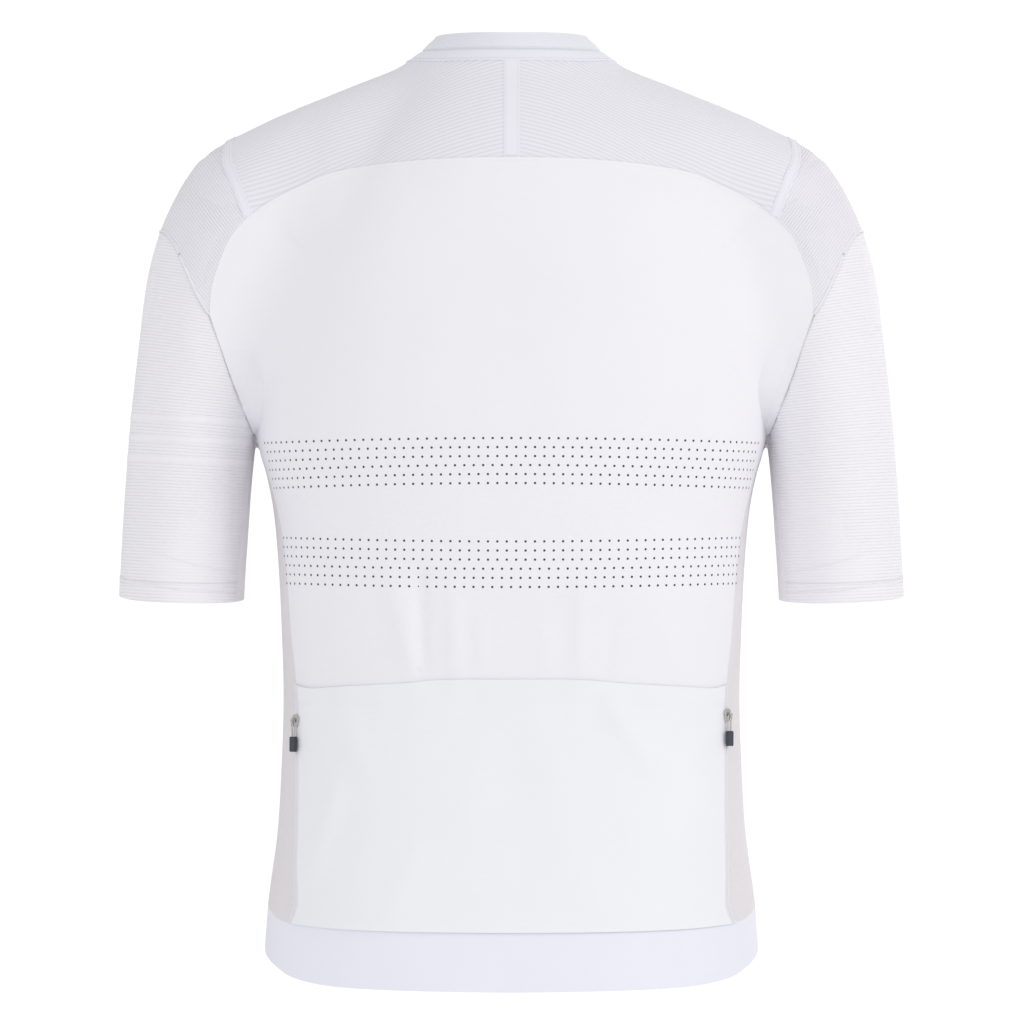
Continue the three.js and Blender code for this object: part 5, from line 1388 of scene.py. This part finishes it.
def new_group(name, inputs, outputs):
    """A shader node group with named sockets."""
    group = bpy.data.node_groups.new(name, "ShaderNodeTree")
    for socket, kind, value in inputs:
        made = group.interface.new_socket(name=socket, in_out="INPUT", socket_type=kind)
        if value is not None:
            made.default_value = value
    for socket, kind in outputs:
        group.interface.new_socket(name=socket, in_out="OUTPUT", socket_type=kind)
    return group, group.nodes.new("NodeGroupInput"), group.nodes.new("NodeGroupOutput")


def math_node(tree, operation, first, second=None):
    """One step of arithmetic between sockets or numbers."""
    node = tree.nodes.new("ShaderNodeMath")
    node.operation = operation
    for socket, value in zip(node.inputs, (first, second)):
        if value is None:
            continue
        if isinstance(value, (int, float)):
            socket.default_value = value
        else:
            tree.links.new(value, socket)
    return node.outputs[0]


def noise_node(tree, place, scale, detail):
    """Soft noise over a place."""
    node = tree.nodes.new("ShaderNodeTexNoise")
    node.inputs["Scale"].default_value = scale
    node.inputs["Detail"].default_value = detail
    tree.links.new(place, node.inputs["Vector"])
    return node.outputs["Fac"]


def bump_node(tree, height, distance, strength=1.0, under=None):
    """A bump from a height, laid over another bump's normal where there is one."""
    node = tree.nodes.new("ShaderNodeBump")
    node.inputs["Strength"].default_value = strength
    node.inputs["Distance"].default_value = distance
    tree.links.new(height, node.inputs["Height"])
    if under:
        tree.links.new(under, node.inputs["Normal"])
    return node.outputs["Normal"]


def build_knit():
    """Loops as the product of two waves, the second shifted by the first so that the loops lean as a V."""
    group, start, end = new_group("knit_loops", [("Flat", VECTOR, None), ("Loop mm", FLOAT, 0.9)],
                                  [("Height", FLOAT), ("Tone", FLOAT)])
    parts = group.nodes.new("ShaderNodeSeparateXYZ")
    group.links.new(start.outputs["Flat"], parts.inputs[0])
    turns = math_node(group, "DIVIDE", 2 * math.pi * 1000, start.outputs["Loop mm"])
    u = math_node(group, "MULTIPLY", parts.outputs["X"], turns)
    v = math_node(group, "MULTIPLY", parts.outputs["Y"], turns)
    wale = math_node(group, "SINE", u)
    lean = math_node(group, "ADD", v, math_node(group, "MULTIPLY", math_node(group, "ABSOLUTE", wale), 1.6))
    course = math_node(group, "SINE", lean)
    height = math_node(group, "ADD", math_node(group, "MULTIPLY", course, 0.5),
                       math_node(group, "ABSOLUTE", wale))
    group.links.new(height, end.inputs["Height"])
    # The tone is painted shade: the loops' low places are made up to three per cent darker.
    tone = math_node(group, "ADD", math_node(group, "MULTIPLY", height, 0.03), 0.97)
    group.links.new(tone, end.inputs["Tone"])
    return group


def build_mottle():
    """Soft patches of tone, as cloth of one dye lot shows where it is stretched more or less."""
    group, start, end = new_group("soft_mottle", [("Place", VECTOR, None), ("Amount", FLOAT, 0.03)],
                                  [("Tone", FLOAT)])
    noise = noise_node(group, start.outputs["Place"], 14, 3)
    centred = math_node(group, "SUBTRACT", noise, 0.5)
    scaled = math_node(group, "MULTIPLY", centred, start.outputs["Amount"])
    group.links.new(math_node(group, "ADD", scaled, 1.0), end.inputs["Tone"])
    return group


def build_cords():
    """Cords from their phase: height is |sin| of it, where the mesh left them out, and the grooves get
    painted shade.
    """
    inputs = [("Phase", FLOAT, 0.0), ("Flat", FLOAT, 0.0), ("Plain", FLOAT, 0.0),
              ("Depth", FLOAT, 0.15)]
    group, start, end = new_group("rib_cords", inputs, [("Height", FLOAT), ("Tone", FLOAT)])
    wave = math_node(group, "SINE", math_node(group, "MULTIPLY", start.outputs["Phase"], math.pi))
    cord = math_node(group, "POWER", math_node(group, "ABSOLUTE", wave), 0.8)
    ribbed = math_node(group, "SUBTRACT", 1.0, start.outputs["Plain"])
    left_out = math_node(group, "MULTIPLY", start.outputs["Flat"], ribbed)
    group.links.new(math_node(group, "MULTIPLY", cord, left_out), end.inputs["Height"])
    # Painted shade in the grooves between the cords, as dark as the input sets.
    painted_shade = math_node(group, "MULTIPLY", math_node(group, "SUBTRACT", 1.0, cord), ribbed)
    shade = math_node(group, "MULTIPLY", painted_shade, start.outputs["Depth"])
    group.links.new(math_node(group, "SUBTRACT", 1.0, shade), end.inputs["Tone"])
    return group


KNIT, MOTTLE, CORDS = build_knit(), build_mottle(), build_cords()


def linear(red, green, blue):
    """Screen colours, 0 to 255, as the linear values that shaders use."""
    value = np.array([red, green, blue]) / 255
    return (*np.where(value <= 0.04045, value / 12.92, ((value + 0.055) / 1.055) ** 2.4), 1.0)


def attribute(tree, name):
    """A mesh attribute's value, as a socket."""
    node = tree.nodes.new("ShaderNodeAttribute")
    node.attribute_name = name
    return node.outputs["Fac"]


def group_node(tree, group, links, values):
    """A node group put in, with some inputs linked and others set."""
    node = tree.nodes.new("ShaderNodeGroup")
    node.node_tree = group
    for name, socket in links.items():
        tree.links.new(socket, node.inputs[name])
    for name, value in values.items():
        node.inputs[name].default_value = value
    return node


# Colour sockets of a mix node go by number, because its sockets for other kinds share their names
MIX_FIRST, MIX_SECOND, MIX_RESULT = 6, 7, 2
LOOP_HEIGHT, GRAIN_HEIGHT = 0.2, 0.1


def new_material(name):
    """A material with its node tree, its main shader and its place node."""
    material = bpy.data.materials.new(name)
    material.use_nodes = True
    tree = material.node_tree
    return material, tree, tree.nodes["Principled BSDF"], tree.nodes.new("ShaderNodeTexCoord")


def mixed(tree, first, second, share, blend="MIX"):
    """A colour between two, or their product with the blend MULTIPLY; each may be a socket or a value."""
    node = tree.nodes.new("ShaderNodeMix")
    node.data_type = "RGBA"
    node.blend_type = blend
    for socket, value in ((node.inputs["Factor"], share), (node.inputs[MIX_FIRST], first),
                          (node.inputs[MIX_SECOND], second)):
        if isinstance(value, bpy.types.NodeSocket):
            tree.links.new(value, socket)
        else:
            socket.default_value = value
    return node.outputs[MIX_RESULT]


def cloth_material(name, colour, roughness, loop_mm, bump, sheen=0.15, mottle=0.04, ribbed=None, seam=0.3):
    """Cloth: base colour times the knit's painted shade, the mottle, and painted shade along seams and in the
    cords' grooves, with bumps for the loops and fine cords.
    """
    material, tree, shader, place = new_material(name)
    for socket, value in (("Roughness", roughness), ("Sheen Weight", sheen), ("Sheen Roughness", 0.5),
                          ("Specular IOR Level", 0.25)):
        shader.inputs[socket].default_value = value
    knit = group_node(tree, KNIT, {"Flat": place.outputs["UV"]}, {"Loop mm": loop_mm})
    mottling = group_node(tree, MOTTLE, {"Place": place.outputs["Object"]}, {"Amount": mottle})
    tone = math_node(tree, "MULTIPLY", knit.outputs["Tone"], mottling.outputs["Tone"])
    # Painted shade along seams, folds and hems: the mesh's shade mask times seam darkens the colour.
    shade = math_node(tree, "MULTIPLY", attribute(tree, "painted_shade"), seam)
    tone = math_node(tree, "MULTIPLY", tone, math_node(tree, "SUBTRACT", 1.0, shade))
    cord_relief = None
    # ribbed sets how dark the painted shade in the cords' grooves is.
    if ribbed:
        masks = {"Phase": "rib_phase", "Flat": "rib_flat", "Plain": "plain"}
        links = {socket: attribute(tree, mask) for socket, mask in masks.items()}
        rib = group_node(tree, CORDS, links, {"Depth": ribbed})
        tone = math_node(tree, "MULTIPLY", tone, rib.outputs["Tone"])
        cord_relief = bump_node(tree, rib.outputs["Height"], RIB_HEIGHT * MM)
    relief = bump_node(tree, knit.outputs["Height"], LOOP_HEIGHT * MM, bump, cord_relief)
    tree.links.new(mixed(tree, linear(*colour), tone, 1.0, "MULTIPLY"), shader.inputs["Base Color"])
    tree.links.new(relief, shader.inputs["Normal"])
    return material


# %% Cloth finishes
# ribbed and seam set how dark the painted shade is in the cords' grooves and along seams, folds and hems.
FINISHES = {
    "back_cloth": cloth_material("back_knit", (243, 242, 247), 0.82, 0.8, 0.25),
    "pocket_cloth": cloth_material("pocket_knit", (242, 243, 247), 0.8, 0.8, 0.22),
    "yoke_cloth": cloth_material("yoke_rib_knit", (238, 237, 244), 0.86, 0.7, 0.2, ribbed=0.13),
    "cap_cloth": cloth_material("cap_rib_knit", (238, 236, 243), 0.86, 0.7, 0.2, ribbed=0.13),
    "sleeve_cloth": cloth_material("sleeve_rib_knit", (245, 243, 248), 0.86, 0.7, 0.2, ribbed=0.06, seam=0.6),
    "tape": cloth_material("smooth_tape", (238, 237, 245), 0.6, 0.6, 0.15, sheen=0.1),
    # The underarm mesh is partly its own pale colour and partly painted light: it is set lighter than the
    # other cloths to lift the shade under the arm.
    "strip_cloth": cloth_material("underarm_mesh", (248, 246, 250), 0.8, 1.4, 0.4),
    "side_cloth": cloth_material("side_mesh", (233, 229, 233), 0.82, 1.3, 0.5),
    "collar_cloth": cloth_material("collar_knit", (236, 236, 244), 0.8, 0.7, 0.2),
    "hem_cloth": cloth_material("hem_band_knit", (238, 238, 248), 0.6, 0.6, 0.12, sheen=0.1),
    "zip_cloth": cloth_material("zip_tape_weave", (234, 232, 238), 0.7, 0.6, 0.3),
}
for cut in CUTS.values():
    cut["piece"].data.materials.append(FINISHES[cut["slot"]])
for trim, finish in ((welts, "tape"), (threads, "tape"), (tacks, "tape"), (teeth, "zip_cloth")):
    trim.data.materials.append(FINISHES[finish])


# %% Metal, moulded tabs and print
def hard_material(name, colour, roughness, metallic, grain_scale, grain):
    """A hard finish: one colour with a fine grain in colour, roughness and bump."""
    material, tree, shader, place = new_material(name)
    shader.inputs["Metallic"].default_value = metallic
    noise = noise_node(tree, place.outputs["Object"], grain_scale, 4)
    bright = linear(*colour)
    dark = tuple(value * (1 - grain) for value in bright[:3]) + (1,)
    tree.links.new(mixed(tree, dark, bright, noise), shader.inputs["Base Color"])
    spread = math_node(tree, "MULTIPLY", noise, 0.2)
    tree.links.new(math_node(tree, "ADD", spread, roughness - 0.1), shader.inputs["Roughness"])
    tree.links.new(bump_node(tree, noise, GRAIN_HEIGHT * MM, 0.2), shader.inputs["Normal"])
    return material


METAL = hard_material("bright_zip_metal", (205, 203, 200), 0.3, 1.0, 900, 0.15)
MOULDED = hard_material("slate_moulding", (58, 60, 74), 0.55, 0.0, 1500, 0.2)
PRINT = hard_material("grey_print", (66, 66, 76), 0.5, 0.0, 2000, 0.15)
dots.data.materials.append(PRINT)
HARDWARE = {"pocket_slider_left": METAL, "pocket_slider_right": METAL, "pull_wire_left": METAL,
            "pull_wire_right": METAL, "front_slider": METAL, "front_pull": METAL,
            "pull_tab_left": MOULDED, "pull_tab_right": MOULDED}
for name, finish in HARDWARE.items():
    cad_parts[name].data.materials.clear()
    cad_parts[name].data.materials.append(finish)

# %% [markdown]
# ## Floor, light and camera
# A white studio: a soft even light from all round, a large soft key from the right, a weaker fill from the
# left and one more light on the front, which the photographed view doesn't show. The camera stands three
# metres behind the jersey with a long lens, level with its middle. The floor is a pale plate well below.

# %% Stage
FLOOR_Z = -1.0


def make_floor():
    """A thin pale plate with a slightly raised rounded rim, so that light rolls off its edge."""
    radius, angle = np.meshgrid(np.array([0.0, 0.9, 1.28, 1.3, 1.3]), np.linspace(0, 2 * np.pi, 65)[:-1])
    drop = np.broadcast_to(np.array([0, 0, 0, -0.005, -0.02]), radius.shape)
    points = np.stack([radius * np.cos(angle), radius * np.sin(angle), FLOOR_Z + drop], axis=-1)
    index = np.arange(points[..., 0].size).reshape(radius.shape)
    turned = np.roll(index, -1, axis=0)
    faces = np.stack([index[:, :-1], index[:, 1:], turned[:, 1:], turned[:, :-1]], axis=-1).reshape(-1, 4)
    mesh = bpy.data.meshes.new("floor")
    mesh.from_pydata(points.reshape(-1, 3).tolist(), [], faces.tolist())
    mesh.validate()
    floor = bpy.data.objects.new("floor", mesh)
    bpy.context.scene.collection.objects.link(floor)
    return floor


floor = make_floor()
floor.data.materials.append(hard_material("pale_floor", (246, 246, 248), 0.7, 0.0, 30, 0.02))


def area_light(name, place, target, size, watts, colour):
    """A square soft light that faces a point."""
    light = bpy.data.lights.new(name, "AREA")
    light.shape = "SQUARE"
    light.size = size
    light.energy = watts
    light.color = colour
    lamp = bpy.data.objects.new(name, light)
    lamp.location = place
    lamp.rotation_euler = (Vector(target) - Vector(place)).to_track_quat("-Z", "Y").to_euler()
    bpy.context.scene.collection.objects.link(lamp)
    return lamp


area_light("key", (2.1, -1.3, 0.5), (0, 0, -0.3), 0.9, 16, (1, 0.99, 0.98))
area_light("front", (1.4, 2.4, 0.4), (0, 0, -0.3), 1.6, 12, (1, 1, 1))
area_light("fill", (-1.6, -2.2, -0.2), (0, 0, -0.3), 1.6, 11, (0.97, 0.98, 1))

world = bpy.data.worlds.new("white studio")
world.use_nodes = True
bpy.context.scene.world = world
tree = world.node_tree
background = tree.nodes["Background"]
path = tree.nodes.new("ShaderNodeLightPath")
strength = math_node(tree, "ADD", math_node(tree, "MULTIPLY", path.outputs["Is Camera Ray"], 0.33), 0.74)
tree.links.new(strength, background.inputs["Strength"])
background.inputs["Color"].default_value = (1, 1, 1, 1)

# The jersey's middle is half a pixel beside the picture's
SENSOR_MM = 36
camera_data = bpy.data.cameras.new("camera")
camera_data.sensor_width = SENSOR_MM
camera_data.lens = SENSOR_MM * -EYE[1] / (PICTURE_PIXELS * MM_PER_PIXEL)
camera = bpy.data.objects.new("camera", camera_data)
camera.location = (MM_PER_PIXEL / 2 * MM, EYE[1] * MM, EYE[2] * MM)
camera.rotation_euler = (math.pi / 2, 0, 0)
bpy.context.scene.collection.objects.link(camera)
bpy.context.scene.camera = camera
bpy.context.scene.view_settings.view_transform = "Standard"
bpy.context.scene.view_settings.look = "None"
